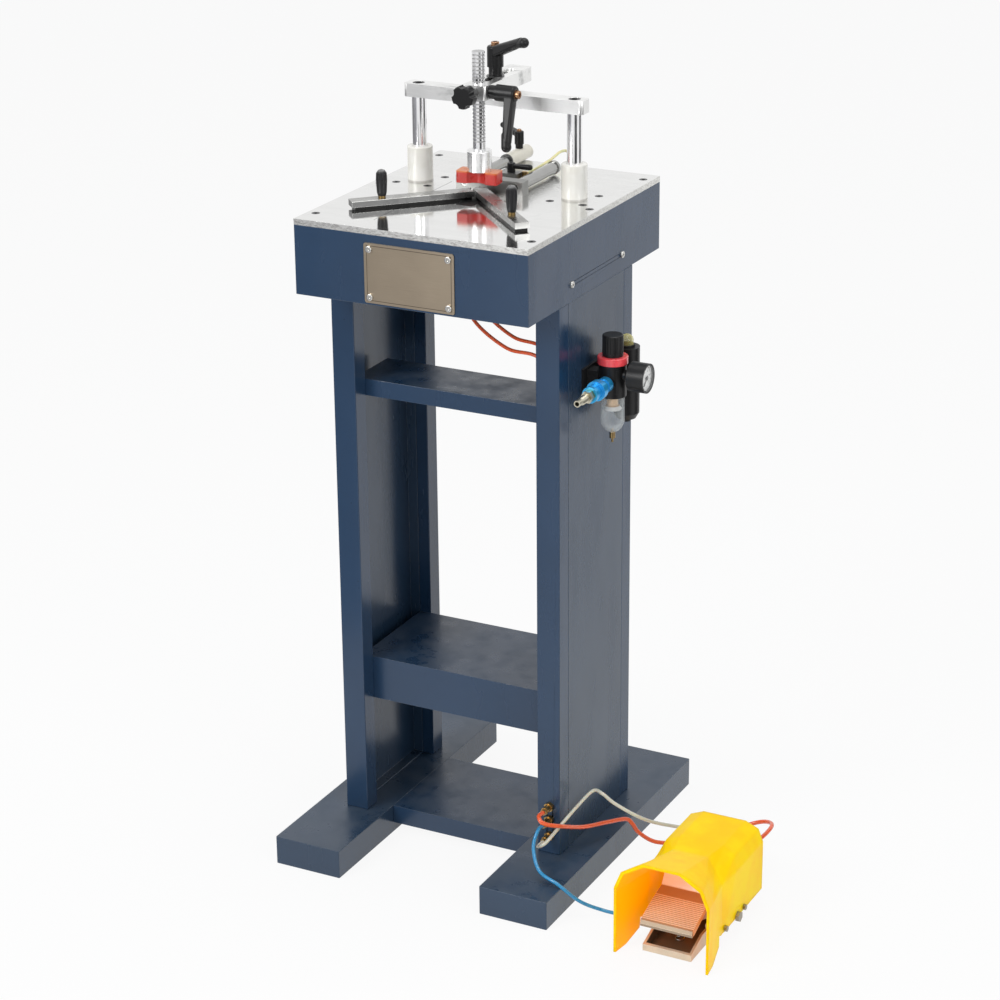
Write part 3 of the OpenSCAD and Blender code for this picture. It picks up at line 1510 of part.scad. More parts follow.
placed() tubes_thin();
placed() pedal_base();
placed() pedal_guard();
placed() treadle();
placed() pedal_fasteners();
placed() valve_body();
placed() valve_spool();
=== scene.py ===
import math

import bmesh
import bpy
from mathutils import Matrix, Quaternion, Vector


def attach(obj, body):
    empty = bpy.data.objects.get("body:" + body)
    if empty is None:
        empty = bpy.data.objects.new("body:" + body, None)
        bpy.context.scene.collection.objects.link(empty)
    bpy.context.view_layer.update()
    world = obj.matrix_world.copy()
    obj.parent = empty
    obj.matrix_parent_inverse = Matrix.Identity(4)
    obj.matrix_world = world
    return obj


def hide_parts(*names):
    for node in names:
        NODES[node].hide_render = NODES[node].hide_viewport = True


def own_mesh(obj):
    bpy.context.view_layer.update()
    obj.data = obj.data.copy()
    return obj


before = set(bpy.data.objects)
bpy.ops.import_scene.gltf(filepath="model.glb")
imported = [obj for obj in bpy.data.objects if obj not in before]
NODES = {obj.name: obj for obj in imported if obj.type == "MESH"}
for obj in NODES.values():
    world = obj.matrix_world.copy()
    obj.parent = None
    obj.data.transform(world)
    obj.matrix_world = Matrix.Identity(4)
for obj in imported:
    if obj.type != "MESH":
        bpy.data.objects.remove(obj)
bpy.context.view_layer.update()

MM = 0.001
STAND = Vector((-0.120, 0.005, 0.0))       # middle of the stand, on the floor
PEDAL_X = 384                              # middle of the foot valve, in mm from the middle of the stand
RIB_PITCH = 0.003133                       # from one rib of the treadle to the next


def at(x, y, z):
    """A point given in millimetres about the middle of the stand, as metres in the part's own frame."""
    return STAND + Vector((x, y, z)) * MM


# ---------------------------------------------------------------- camera, floor and light

CAMERA_PLACE = (1.53865, -3.14935, 1.88875)
CAMERA_TURN = (27.40, 21.27, -0.546)       # azimuth, elevation and roll in degrees
LENS = 99.43                               # focal length in mm on a sensor 36 mm wide
FLOOR_REACH = 60.0                         # from the middle to the floor's sides
FLOOR_DROP = 0.0004                        # keeps the floor clear of the feet's undersides
FLOOR_WHITE = 0.92                         # how far the camera sees white paper in place of its shading
CARD_AWAY = 0.95                           # from the middle to each card
CARD_HIGH = 0.92                           # below the table, which mirrors white


def set_camera():
    lens = bpy.data.cameras.new("camera")
    lens.sensor_width = 36.0
    lens.lens = LENS
    lens.clip_end = 200.0
    camera = bpy.data.objects.new("camera", lens)
    camera.location = CAMERA_PLACE
    azimuth, elevation, roll = (math.radians(turn) for turn in CAMERA_TURN)
    ahead = Vector((-math.sin(azimuth) * math.cos(elevation),
                    math.cos(azimuth) * math.cos(elevation),
                    -math.sin(elevation)))
    camera.rotation_mode = "QUATERNION"
    camera.rotation_quaternion = ahead.to_track_quat("-Z", "Y") @ Quaternion((0, 0, 1), roll)
    bpy.context.scene.collection.objects.link(camera)
    bpy.context.scene.camera = camera


class Value:
    """One output of a node, which takes part in a formula as a number does."""

    def __init__(self, graph, socket):
        self.graph, self.socket = graph, socket

    def __add__(self, other):
        return self.graph.math("ADD", self, other)

    __radd__ = __add__

    def __sub__(self, other):
        return self.graph.math("SUBTRACT", self, other)

    def __rsub__(self, other):
        return self.graph.math("SUBTRACT", other, self)

    def __mul__(self, other):
        return self.graph.math("MULTIPLY", self, other)

    __rmul__ = __mul__

    def __truediv__(self, other):
        return self.graph.math("DIVIDE", self, other)

    def __abs__(self):
        return self.graph.math("ABSOLUTE", self)

    def __or__(self, other):
        return self.graph.math("MAXIMUM", self, other)

    def above(self, edge, soft=0.0004):
        """0 below the edge and 1 above it, with a soft step between."""
        return self.graph.node("MapRange", {"interpolation_type": "SMOOTHSTEP"},
                               {"Value": self, "From Min": edge - soft, "From Max": edge + soft})

    def below(self, edge, soft=0.0004):
        return 1 - self.above(edge, soft)

    def between(self, low, high, soft=0.0004):
        return self.above(low, soft) * self.below(high, soft)


class Graph:
    """The nodes of a material or of the world."""

    def __init__(self, tree):
        self.tree = tree
        tree.nodes.clear()

    def node(self, kind, settings=None, inputs=None, out=0):
        made = self.tree.nodes.new("ShaderNode" + kind)
        for name, value in (settings or {}).items():
            setattr(made, name, value)
        for name, value in (inputs or {}).items():
            self.feed(made.inputs[name], value)
        return Value(self, made.outputs[out])

    def feed(self, socket, value):
        if isinstance(value, Value):
            self.tree.links.new(value.socket, socket)
        elif hasattr(value, "__len__") and socket.type == "RGBA" and len(value) == 3:
            socket.default_value = (*value, 1.0)
        else:
            socket.default_value = value

    def math(self, operation, *values):
        return self.node("Math", {"operation": operation}, dict(enumerate(values)))

    def vector(self, operation, *values, out=0):
        return self.node("VectorMath", {"operation": operation}, dict(enumerate(values)), out)

    def mix(self, one, other, share):
        """A colour from one to the other."""
        return self.node("Mix", {"data_type": "RGBA"}, {0: share, 6: one, 7: other}, 2)

    def tint(self, colour, strength):
        """A colour made lighter or darker by a value about 1."""
        grey = self.node("CombineXYZ", {}, {0: strength, 1: strength, 2: strength})
        return self.node("Mix", {"data_type": "RGBA", "blend_type": "MULTIPLY"},
                         {0: 1.0, 6: colour, 7: grey}, 2)

    def seen(self):
        """1 for what the camera sees, directly, in a mirror or through something clear."""
        camera, mirror, clear = (self.node("LightPath", out=k) for k in (0, 3, 6))
        return camera | mirror | clear


class Finish(Graph):
    """A material for solids that lie in the part's own frame."""

    def __init__(self, name):
        self.material = bpy.data.materials.new(name)
        self.material.use_nodes = True
        super().__init__(self.material.node_tree)
        self.shader = self.tree.nodes.new("ShaderNodeBsdfPrincipled")
        output = self.tree.nodes.new("ShaderNodeOutputMaterial")
        self.tree.links.new(self.shader.outputs[0], output.inputs[0])
        self.place = self.node("TexCoord", out=3)
        parts = self.tree.nodes.new("ShaderNodeSeparateXYZ")
        self.tree.links.new(self.place.socket, parts.inputs[0])
        self.x, self.y, self.z = (Value(self, parts.outputs[k]) for k in range(3))

    def wear(self, **values):
        """Sets the shader's sockets, under short names, and gives the finished material."""
        names = {"base": "Base Color", "metal": "Metallic", "rough": "Roughness", "coat": "Coat Weight",
                 "alpha": "Alpha", "normal": "Normal", "ior": "IOR", "specular": "Specular IOR Level",
                 "glow": "Emission Color", "glow_strength": "Emission Strength",
                 "under": "Subsurface Weight", "under_scale": "Subsurface Scale",
                 "under_radius": "Subsurface Radius"}
        for name, value in values.items():
            self.feed(self.shader.inputs[names[name]], value)
        return self.material

    def noise(self, size, detail=2.0, rough=0.5, along=(1, 1, 1), place=None):
        """Cloudy variation about 0.5, with patches of the given size in metres, drawn out by along."""
        where = self.vector("DIVIDE", place or self.place, tuple(size * k for k in along))
        return self.node("TexNoise", {},
                         {"Vector": where, "Scale": 1.0, "Detail": detail, "Roughness": rough})

    def spots(self, size):
        """Distance to the middle of the nearest of scattered spots, in units of their size."""
        where = self.vector("DIVIDE", self.place, (size, size, size))
        return self.node("TexVoronoi", {}, {"Vector": where, "Scale": 1.0})

    def turned(self, degrees):
        """The place, turned about the vertical axis."""
        return self.node("VectorRotate", {"rotation_type": "Z_AXIS"},
                         {"Vector": self.place, "Angle": math.radians(degrees)})

    def upward(self):
        """1 where a face looks up, 0 where it stands, and -1 where it looks down."""
        return self.vector("DOT_PRODUCT", self.node("NewGeometry", out=1), (0.0, 0.0, 1.0), out=1)

    def off_axis(self, centre, axis):
        """Distance from a line through centre that runs along the given axis."""
        flat = tuple(0.0 if k == "XYZ".index(axis) else 1.0 for k in range(3))
        away = self.vector("SUBTRACT", self.place, tuple(centre))
        return self.vector("LENGTH", self.vector("MULTIPLY", away, flat), out=1)

    def relief(self, height, depth, under=None):
        """Normal of a surface whose height runs over the given depth in metres."""
        inputs = {"Strength": 1.0, "Distance": depth, "Height": height}
        if under is not None:
            inputs["Normal"] = under
        return self.node("Bump", {}, inputs)

    def rounded(self, radius):
        """Normal with the edges eased by the given radius."""
        return self.node("Bevel", {"samples": 4}, {"Radius": radius})

    def edges(self, radius):
        """1 on the outer edges and 0 on the faces."""
        bare = self.node("NewGeometry", out=1)
        turn = self.vector("DOT_PRODUCT", self.rounded(radius), bare, out=1)
        return (1 - turn).above(0.06, 0.05)


def light_room():
    """A pale room: an even sky for soft light, seen as white by the camera and in reflections."""
    world = bpy.data.worlds.new("studio")
    world.use_nodes = True
    bpy.context.scene.world = world
    graph = Graph(world.node_tree)
    soft = graph.node("Background", {}, {"Color": (0.96, 0.98, 1.0), "Strength": 0.52})
    white = graph.node("Background", {}, {"Color": (1.0, 1.0, 1.0), "Strength": 0.97})
    both = graph.node("MixShader", {}, {0: graph.seen(), 1: soft, 2: white})
    output = graph.tree.nodes.new("ShaderNodeOutputWorld")
    graph.tree.links.new(both.socket, output.inputs[0])


def soft_box(name, place, aim, width, height, watts, mirrored=True):
    lamp = bpy.data.lights.new(name, "AREA")
    lamp.shape = "RECTANGLE"
    lamp.size, lamp.size_y, lamp.energy = width, height, watts
    box = bpy.data.objects.new(name, lamp)
    box.location = place
    box.rotation_mode = "QUATERNION"
    box.rotation_quaternion = (Vector(aim) - Vector(place)).to_track_quat("-Z", "Y")
    box.visible_camera = False
    box.visible_glossy = mirrored
    bpy.context.scene.collection.objects.link(box)


def lay_floor():
    mesh = bpy.data.meshes.new("floor")
    corners = [(x * FLOOR_REACH, y * FLOOR_REACH, 0) for x, y in ((-1, -1), (1, -1), (1, 1), (-1, 1))]
    mesh.from_pydata(corners, [], [(0, 1, 2, 3)])
    floor = bpy.data.objects.new("floor", mesh)
    floor.location.z = -FLOOR_DROP
    bpy.context.scene.collection.objects.link(floor)
    paper = bpy.data.materials.new("floor_paper")
    paper.use_nodes = True
    graph = Graph(paper.node_tree)
    matt = graph.node("BsdfDiffuse", {}, {"Color": (0.86, 0.86, 0.86)})
    white = graph.node("Emission", {}, {"Color": (1.0, 1.0, 1.0), "Strength": 0.99})
    both = graph.node("MixShader", {}, {0: graph.seen() * FLOOR_WHITE, 1: matt, 2: white})
    output = graph.tree.nodes.new("ShaderNodeOutputMaterial")
    graph.tree.links.new(both.socket, output.inputs[0])
    mesh.materials.append(paper)


def dark_card(name, azimuth, spread, shade):
    """A card on the floor that only polished surfaces show, as wide as the angle that it spreads over."""
    turn = math.radians(azimuth)
    middle = Vector((math.sin(turn), -math.cos(turn), 0)) * CARD_AWAY
    side = Vector((middle.y, -middle.x, 0)) * math.tan(math.radians(spread / 2))
    top = Vector((0, 0, CARD_HIGH))
    mesh = bpy.data.meshes.new(name)
    corners = [middle - side, middle + side, middle + side + top, middle - side + top]
    mesh.from_pydata(corners, [], [(0, 1, 2, 3)])
    card = bpy.data.objects.new(name, mesh)
    bpy.context.scene.collection.objects.link(card)
    card.visible_camera = card.visible_diffuse = card.visible_shadow = card.visible_transmission = False
    board = bpy.data.materials.new(name)
    board.use_nodes = True
    graph = Graph(board.node_tree)
    matt = graph.node("Emission", {}, {"Color": (shade, shade, shade * 1.05), "Strength": 1.0})
    output = graph.tree.nodes.new("ShaderNodeOutputMaterial")
    graph.tree.links.new(matt.socket, output.inputs[0])
    mesh.materials.append(board)


set_camera()
light_room()
lay_floor()
soft_box("key", (-1.5, -2.9, 2.5), (0.0, 0.0, 0.6), 1.6, 1.6, 62.0)
soft_box("top", (0.2, 0.1, 3.2), (0.0, 0.0, 0.9), 1.6, 1.6, 26.0)
soft_box("fill", (2.9, -1.4, 1.8), (0.0, 0.0, 0.6), 1.4, 1.8, 22.0)
soft_box("low", (0.62, -1.05, 0.30), (0.264, -0.12, 0.06), 0.5, 0.3, 1.5, False)
for name, azimuth, spread, shade in (("card_front", 47, 40, 0.06), ("card_right", 121, 34, 0.05),
                                     ("card_middle", -29, 14, 0.60), ("card_left", -51, 30, 0.30),
                                     ("card_far_left", -87, 42, 0.24)):
    dark_card(name, azimuth, spread, shade)


# ---------------------------------------------------------------- pieces

def piece(name, mesh, finish, body, replaced=()):
    """A new object of the model, with its material, its body and the nodes that it stands for."""
    made = bpy.data.objects.new(name, mesh)
    bpy.context.scene.collection.objects.link(made)
    mesh.materials.append(finish)
    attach(made, body)
    if replaced:
        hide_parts(*replaced)
    return made


def mesh_from(name, build):
    """A mesh that build fills in, with its faces turned out and shaded smooth below 35 degrees."""
    form = bmesh.new()
    build(form)
    bmesh.ops.recalc_face_normals(form, faces=form.faces)
    mesh = bpy.data.meshes.new(name)
    form.to_mesh(mesh)
    form.free()
    mesh.shade_smooth()
    mesh.set_sharp_from_angle(angle=math.radians(35))
    return mesh


def lathe(form, outline, centre):
    """Turns an outline of (radius, distance along X) in millimetres about a line along X through centre."""
    steps = 64
    along = Vector((1, 0, 0))
    side = along.orthogonal().normalized()
    other = along.cross(side)
    rings = []
    for radius, run in outline:
        middle = Vector(centre) + along * run * MM
        if radius < 1e-6:
            rings.append([form.verts.new(middle)] * steps)
            continue
        rings.append([form.verts.new(middle + radius * MM * (side * math.cos(a) + other * math.sin(a)))
                      for a in (2 * math.pi * k / steps for k in range(steps))])
    for low, high in zip(rings, rings[1:]):
        for k in range(steps):
            n = (k + 1) % steps
            corners = [low[k], low[n], high[n], high[k]]
            corners = [c for i, c in enumerate(corners) if c not in corners[:i]]
            if len(corners) > 2:
                form.faces.new(corners)


# ---------------------------------------------------------------- tubes

def curve_at(before, start, end, after, t):
    """A point between start and end, at share t of the way, on a smooth curve through all four."""
    return 0.5 * (2 * start + (end - before) * t + (2 * before - 5 * start + 4 * end - after) * t ** 2
                  + (3 * start - before - 3 * end + after) * t ** 3)


def smooth_route(route, steps):
    """A curve through the route's points, with that many steps from each to the next."""
    ends = [route[0], *route, route[-1]]
    path = [curve_at(*ends[i:i + 4], k / steps) for i in range(len(route) - 1) for k in range(steps)]
    return path + [route[-1]]


def hose(name, route, diameter, finish, node):
    """A tube that runs from one fitting to another along its route, in millimetres about the stand."""
    path = smooth_route([at(*p) for p in route], 8)
    line = bpy.data.curves.new(name, "CURVE")
    line.dimensions = "3D"
    line.bevel_depth = diameter * MM / 2
    line.bevel_resolution = 5
    line.use_fill_caps = True
    spline = line.splines.new("POLY")
    spline.points.add(len(path) - 1)
    for point, where in zip(spline.points, path):
        point.co = (*where, 1.0)
    made = bpy.data.objects.new(name, line)
    bpy.context.scene.collection.objects.link(made)
    line.materials.append(finish)
    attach(made, "stand")
    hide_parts(node)
    length = sum((b - a).length for a, b in zip(path, path[1:]))


ORANGE = [(155, -135, 115), (155, -147, 115), (164, -152, 109), (178, -129, 97), (190, -79, 75),
          (206, -37, 66), (222, -8, 61), (230, -3, 53), (239, 2, 38), (264, 9, 26), (302, 36, 24),
          (346, 70, 34), (386, 86, 50), (412, 68, 60), (412, 22, 60), (395, -14, 58), (395, -30, 58)]
BLUE = [(155, -135, 95), (155, -150, 95), (156, -166, 76), (176, -188, 56), (208, -196, 47),
        (234, -186, 24), (258, -172, 10), (286, -164, 6), (310, -142, 7), (325, -108, 9),
        (334, -88, 24), (342, -86, 44), (354, -86, 44)]
CLEAR = [(155, -135, 70), (155, -150, 70), (167, -150, 79), (175, -113, 94), (182, -80, 107),
         (191, -50, 118), (206, -50, 116), (223, -50, 106), (252, -39, 88), (271, -15, 70),
         (302, 20, 52), (338, 40, 42), (366, 24, 37), (373, -8, 36), (373, -30, 36)]
INNER_RIGHT = [(12, -33, 846), (12, -33, 822), (26, -40, 788), (76, -58, 766), (128, -76, 764),
               (156, -72, 724), (160, -62, 560), (160, -60, 330), (158, -56, 170), (155, -62, 115),
               (155, -78, 115)]
INNER_LEFT = [(-12, -33, 846), (-12, -33, 816), (10, -44, 776), (70, -66, 752), (126, -80, 750),
              (160, -56, 694), (163, -48, 540), (163, -46, 310), (160, -42, 140), (155, -58, 95),
              (155, -78, 95)]
YELLOW = [(17, 100, 944), (17, 128, 944), (17, 172, 946), (17, 208, 950), (17, 232, 940),
          (17, 234, 900), (17, 222, 868), (17, 206, 868)]


def tube_finish(name, colour):
    """Smooth polyurethane, a little milky, with dust that dulls it in patches."""
    f = Finish(name)
    dust = f.noise(0.02, 3)
    shade = f.tint(colour, dust * 0.3 + 0.85)
    return f.wear(base=shade, rough=dust.above(0.6, 0.15) * 0.2 + 0.2, ior=1.5, coat=0.4,
                  under=0.15, under_scale=0.002, normal=f.relief(f.noise(0.004, 2), 0.00002))


orange_tube = tube_finish("orange_polyurethane", (0.80, 0.115, 0.03))
blue_tube = tube_finish("blue_polyurethane", (0.025, 0.26, 0.52))
clear_tube = tube_finish("milky_polyurethane", (0.62, 0.60, 0.50))
yellow_tube = tube_finish("aged_yellow_tube", (0.70, 0.66, 0.32))
hose("hose_orange", ORANGE, 6, orange_tube, "tube_orange")
hose("hose_blue", BLUE, 5, blue_tube, "tube_blue")
hose("hose_clear", CLEAR, 5, clear_tube, "tube_clear")
hose("hose_inner_right", INNER_RIGHT, 5, orange_tube, "tubes_thin")
hose("hose_inner_left", INNER_LEFT, 5, orange_tube, "tubes_thin")
hose("hose_yellow", YELLOW, 4, yellow_tube, "tubes_thin")


# ---------------------------------------------------------------- finishes

def enamel(name, colour):
    """Gloss navy enamel over steel: faint orange peel, dust on what faces up, worn on its outer edges, which
    are also lightened as a painted highlight.
    """
    f = Finish(name)
    cloud = f.noise(0.16, 3)
    dust = f.upward().above(0.6, 0.3) * f.noise(0.03, 4, 0.6).above(0.5, 0.2)
    fine = f.noise(0.0006, 2)
    specks = f.spots(0.018).below(0.055, 0.02) * f.noise(0.05, 2).above(0.56, 0.06)
    edge = f.edges(0.0012)
    chip = edge * f.noise(0.006, 4, 0.7).above(0.60, 0.06)
    paint = f.tint(colour, cloud * 0.5 + 0.75)
    paint = f.mix(paint, (0.10, 0.12, 0.14), dust * 0.25)
    # outer edges lightened: partly wear, partly a painted highlight
    paint = f.mix(paint, (0.10, 0.14, 0.19), edge * 0.5)
    paint = f.mix(paint, (0.006, 0.010, 0.016), specks * 0.7)
    paint = f.mix(paint, (0.30, 0.29, 0.28), chip)
    rub = f.noise(0.05, 4, 0.6, along=(1, 1, 4)).above(0.5, 0.2)
    peel = f.relief(f.noise(0.0035, 2), 0.00006, f.relief(fine, 0.000004))
    return f.wear(base=paint, rough=rub * 0.10 + 0.20 + dust * 0.2, ior=1.52, metal=chip * 0.8, normal=peel)


def table_steel():
    """Ground plate: mirror bright at the front, grinding marks behind, sawn grain on its edges."""
    f = Finish("ground_table_steel")
    side = abs(f.upward()).below(0.5, 0.1)
    lines = f.noise(0.0005, 3, 0.6, along=(60, 1, 1))
    sweep = f.noise(0.02, 3, 0.6, along=(5, 1, 1))
    smear = f.noise(0.06, 3, 0.55)
    front = f.y.below(0.0, 0.05)
    grain = f.noise(0.0022, 4, 0.75, along=(2.6, 1, 1))
    scribe = abs(f.x + 0.1925).below(0.0004, 0.0002) * f.y.between(-0.156, 0.058)
    streak = f.noise(0.006, 1, 0.5, along=(1, 22, 1), place=f.turned(31))
    scratch = abs(streak - 0.5).below(0.003, 0.003) * f.noise(0.05, 2).above(0.55, 0.05)
    tone = f.tint((0.80, 0.80, 0.79), lines * 0.10 + sweep * 0.14 + 0.86)
    tone = f.mix(tone, (0.55, 0.55, 0.54), scratch * 0.5)
    tone = f.mix(tone, (0.06, 0.06, 0.06), scribe)
    tone = f.mix(tone, f.mix((0.50, 0.49, 0.47), (0.84, 0.84, 0.81), grain.above(0.47, 0.12)), side)
    rough = (0.20 - front * 0.17) + smear.above(0.5, 0.2) * 0.05 + lines * 0.06 + scratch * 0.12
    relief = f.relief(lines, 0.000006, f.relief(grain * side, 0.0002))
    return f.wear(base=tone, metal=1.0, rough=rough * (1 - side) + side * 0.34, normal=relief)


def bright_metal(name, colour, rough, along=(1, 1, 30)):
    """Machined metal with marks drawn out along one way, and hand marks that dull it."""
    f = Finish(name)
    lines = f.noise(0.0006, 3, 0.6, along=along)
    hands = f.noise(0.03, 4, 0.6).above(0.5, 0.2)
    tone = f.tint(colour, lines * 0.14 + hands * 0.06 + 0.90)
    return f.wear(base=tone, metal=1.0, rough=lines * 0.08 + hands * 0.05 + rough,
                  normal=f.relief(lines, 0.000004))


def ribbed_chrome():
    """Chrome column whose grooves are dull between the polished ribs, and tinted grey there as painted shade.
    """
    f = Finish("ribbed_chrome")
    groove = f.off_axis(at(0, -4, 0), "Z").below(0.0083, 0.0001)
    lines = f.noise(0.0006, 3, 0.6)
    # grooves rougher, and tinted grey as painted shade in the grooves
    tone = f.mix(f.tint((0.80, 0.80, 0.81), lines * 0.14 + 0.92), (0.46, 0.46, 0.46), groove)
    return f.wear(base=tone, metal=1.0, rough=groove * 0.3 + lines * 0.06 + 0.12)


def screw_steel():
    """Black oxide screws in the table, bright zinc ones in the sheet below it."""
    f = Finish("screw_steel")
    bright = f.z.below(0.922)
    cloud = f.noise(0.004, 3)
    tone = f.mix((0.030, 0.030, 0.032), (0.62, 0.61, 0.58), bright)
    return f.wear(base=f.tint(tone, cloud * 0.5 + 0.75), metal=bright * 0.4 + 0.6, rough=0.34 - bright * 0.12)


def milled_alloy():
    """Satin aluminium with dark rubbed patches, as the clamp's bars have."""
    f = Finish("satin_alloy")
    lines = f.noise(0.0007, 3, 0.6, along=(40, 1, 1))
    stain = f.noise(0.035, 4, 0.62, along=(2, 1, 1)).above(0.60, 0.10)
    grey = f.noise(0.08, 2).above(0.5, 0.2)
    edge = f.edges(0.0008)
    tone = f.tint((0.86, 0.86, 0.85), lines * 0.16 + grey * 0.12 + 0.84)
    tone = f.mix(tone, (0.16, 0.17, 0.17), stain * 0.55)
    # edges lightened: partly wear, partly a painted highlight
    tone = f.mix(tone, (0.80, 0.80, 0.79), edge * 0.6)
    return f.wear(base=tone, metal=0.95, rough=lines * 0.08 + stain * 0.10 + 0.27,
                  normal=f.relief(lines, 0.00001))


def black_plastic():
    """Glass-filled black plastic: fine grain, edges rubbed grey, partly wear and partly a painted highlight,
    bronze screws and grey studs.
    """
    f = Finish("black_lever_plastic")
    grain = f.noise(0.0009, 3, 0.6)
    edge = f.edges(0.0007)
    worn = f.noise(0.012, 3)
    screw = ((f.off_axis(at(0, 44, 0), "Z").below(0.0062) * f.z.above(1.1277))
             | (f.off_axis(at(0, -4, 1077.6), "X").below(0.0062) * f.x.above(-0.0661))
             | (f.off_axis(at(-37, 185, 0), "Z").below(0.0037) * f.z.above(0.9773)))
    stud = (f.off_axis(at(0, 44, 0), "Z").below(0.013) * f.z.below(1.0882)
            | f.off_axis(at(0, -18, 1077.6), "Y").below(0.0072) * f.y.between(-0.036, -0.0125))
    tone = f.tint((0.007, 0.007, 0.0075), worn * 0.6 + 0.7)
    # edges lightened: partly wear, partly a painted highlight
    tone = f.mix(tone, (0.045, 0.046, 0.048), edge * 0.5)
    tone = f.mix(tone, (0.36, 0.20, 0.11), screw)
    tone = f.mix(tone, (0.10, 0.10, 0.10), stud)
    return f.wear(base=tone, metal=screw * 0.9 | stud * 0.6, rough=0.36 - screw * 0.10 - worn * 0.08,
                  specular=0.28, normal=f.relief(grain * (1 - screw), 0.00003))


def fluted_grip():
    """Black fluted handle on a brass ferrule, polished at its crown."""
    f = Finish("fluted_grip")
    ferrule = f.z.below(0.9488)
    crown = f.z.above(0.9815, 0.0015)
    dust = f.noise(0.006, 3)
    tone = f.mix(f.tint((0.008, 0.008, 0.009), dust * 0.6 + 0.7), (0.22, 0.15, 0.06), ferrule)
    tone = f.mix(tone, (0.26, 0.26, 0.26), crown * 0.8)
    return f.wear(base=tone, metal=ferrule | crown * 0.7, rough=0.24 + dust * 0.12, specular=0.4)


def ivory():
    """Cream gloss sleeve, yellower in patches, darker in a thin ring at its foot."""
    f = Finish("cream_collar")
    cloud = f.noise(0.03, 3)
    foot = f.z.below(0.9362, 0.0012)
    band = f.noise(0.004, 2, 0.5, along=(20, 20, 1))
    tone = f.mix((0.84, 0.83, 0.79), (0.72, 0.69, 0.60), cloud.above(0.5, 0.2) * 0.5)
    tone = f.mix(tone, (0.30, 0.28, 0.25), foot * 0.6)
    return f.wear(base=tone, rough=0.20 + cloud * 0.10, coat=0.5, normal=f.relief(band, 0.00003))


def pad_rubber():
    """Cast red polyurethane, warmer where light comes through its upper edges."""
    f = Finish("red_polyurethane")
    cloud = f.noise(0.012, 3)
    top = f.z.above(0.9695, 0.0016)
    tone = f.tint((0.50, 0.022, 0.016), cloud * 0.5 + 0.75)
    tone = f.mix(tone, (0.72, 0.22, 0.05), top * 0.8)
    bubbles = f.spots(0.004).below(0.2, 0.1)
    return f.wear(base=tone, rough=0.22 + cloud * 0.14, specular=0.4, under=0.2, under_scale=0.004,
                  under_radius=(1.0, 0.2, 0.1),
                  normal=f.relief(f.noise(0.003, 2) - bubbles * 0.3, 0.00008, f.rounded(0.0012)))


def fence_steel():
    """Ground bar, marked along its length, dark where hands have been, with painted shade on the left bar's
    sides, edges lightened partly by wear and partly as a painted highlight, over a dark strip whose
    near-black is partly painted shade.
    """
    f = Finish("ground_fence_steel")
    along_right, along_left = (f.noise(0.0006, 3, 0.6, along=along, place=f.turned(45))
                               for along in ((40, 1, 1), (1, 40, 1)))
    right = f.x.above(-0.120, 0.002)
    lines = along_right * right + along_left * (1 - right)
    hands = f.noise(0.02, 4, 0.6).above(0.52, 0.15)
    edge = f.edges(0.0008)
    top = f.z.above(0.9451, 0.0002)
    tone = f.tint((0.40, 0.40, 0.39), lines * 0.3 + 0.82)
    tone = f.mix(tone, (0.22, 0.21, 0.19), hands * 0.35 * top)
    # painted shade: the left bar's faces other than its top are darkened
    tone = f.mix(tone, (0.10, 0.10, 0.10), (1 - top) * (1 - right))
    # edges lightened: partly wear, partly a painted highlight
    tone = f.mix(tone, (0.78, 0.78, 0.76), edge * 0.6)
    # the strip under the bars: near-black, partly its own oxide and partly painted shade of the gap under the
    # bar
    tone = f.mix(tone, (0.012, 0.012, 0.012), f.z.below(0.9377))
    return f.wear(base=tone, metal=1.0, rough=0.19 + lines * 0.10 + hands * 0.12,
                  normal=f.relief(lines, 0.00001))


def dark_steel(name, colour, rough, metal=0.8):
    """Blackened or milled steel, with an oily, uneven tone."""
    f = Finish(name)
    cloud = f.noise(0.018, 4, 0.6)
    marks = f.noise(0.0009, 3, 0.6, along=(1, 12, 1))
    edge = f.edges(0.0006)
    # edges lightened: partly wear, partly a painted highlight
    tone = f.mix(f.tint(colour, cloud * 0.6 + marks * 0.2 + 0.6), (0.40, 0.40, 0.39), edge * 0.35)
    return f.wear(base=tone, metal=metal, rough=cloud * 0.15 + rough, normal=f.relief(marks, 0.00002))


def plate_bronze():
    """Blank etched plate, brushed along its length, with a fine rim line."""
    f = Finish("nameplate_bronze")
    lines = f.noise(0.0005, 3, 0.65, along=(70, 1, 1))
    cloud = f.noise(0.05, 3)
    rim_x = abs(f.x + 0.120).between(0.0610, 0.0618, 0.0002) * abs(f.z - 0.875).below(0.0368)
    rim_z = abs(f.z - 0.875).between(0.0360, 0.0368, 0.0002) * abs(f.x + 0.120).below(0.0618)
    line = rim_x | rim_z
    tone = f.tint((0.40, 0.33, 0.245), lines * 0.3 + cloud * 0.25 + 0.72)
    tone = f.mix(tone, (0.10, 0.08, 0.06), line)
    return f.wear(base=tone, metal=0.9, rough=0.30 + lines * 0.10, normal=f.relief(lines - line, 0.00002))


def sleeve_plastic():
    """Beige sleeve with a dark ring on its front end."""
    f = Finish("beige_sleeve")
    ring = f.y.below(0.1525)
    cloud = f.noise(0.02, 3)
    tone = f.mix(f.tint((0.72, 0.69, 0.60), cloud * 0.3 + 0.85), (0.03, 0.03, 0.03), ring)
    return f.wear(base=tone, rough=0.30 + cloud * 0.1, coat=0.3, normal=f.relief(f.noise(0.003, 2), 0.00003))


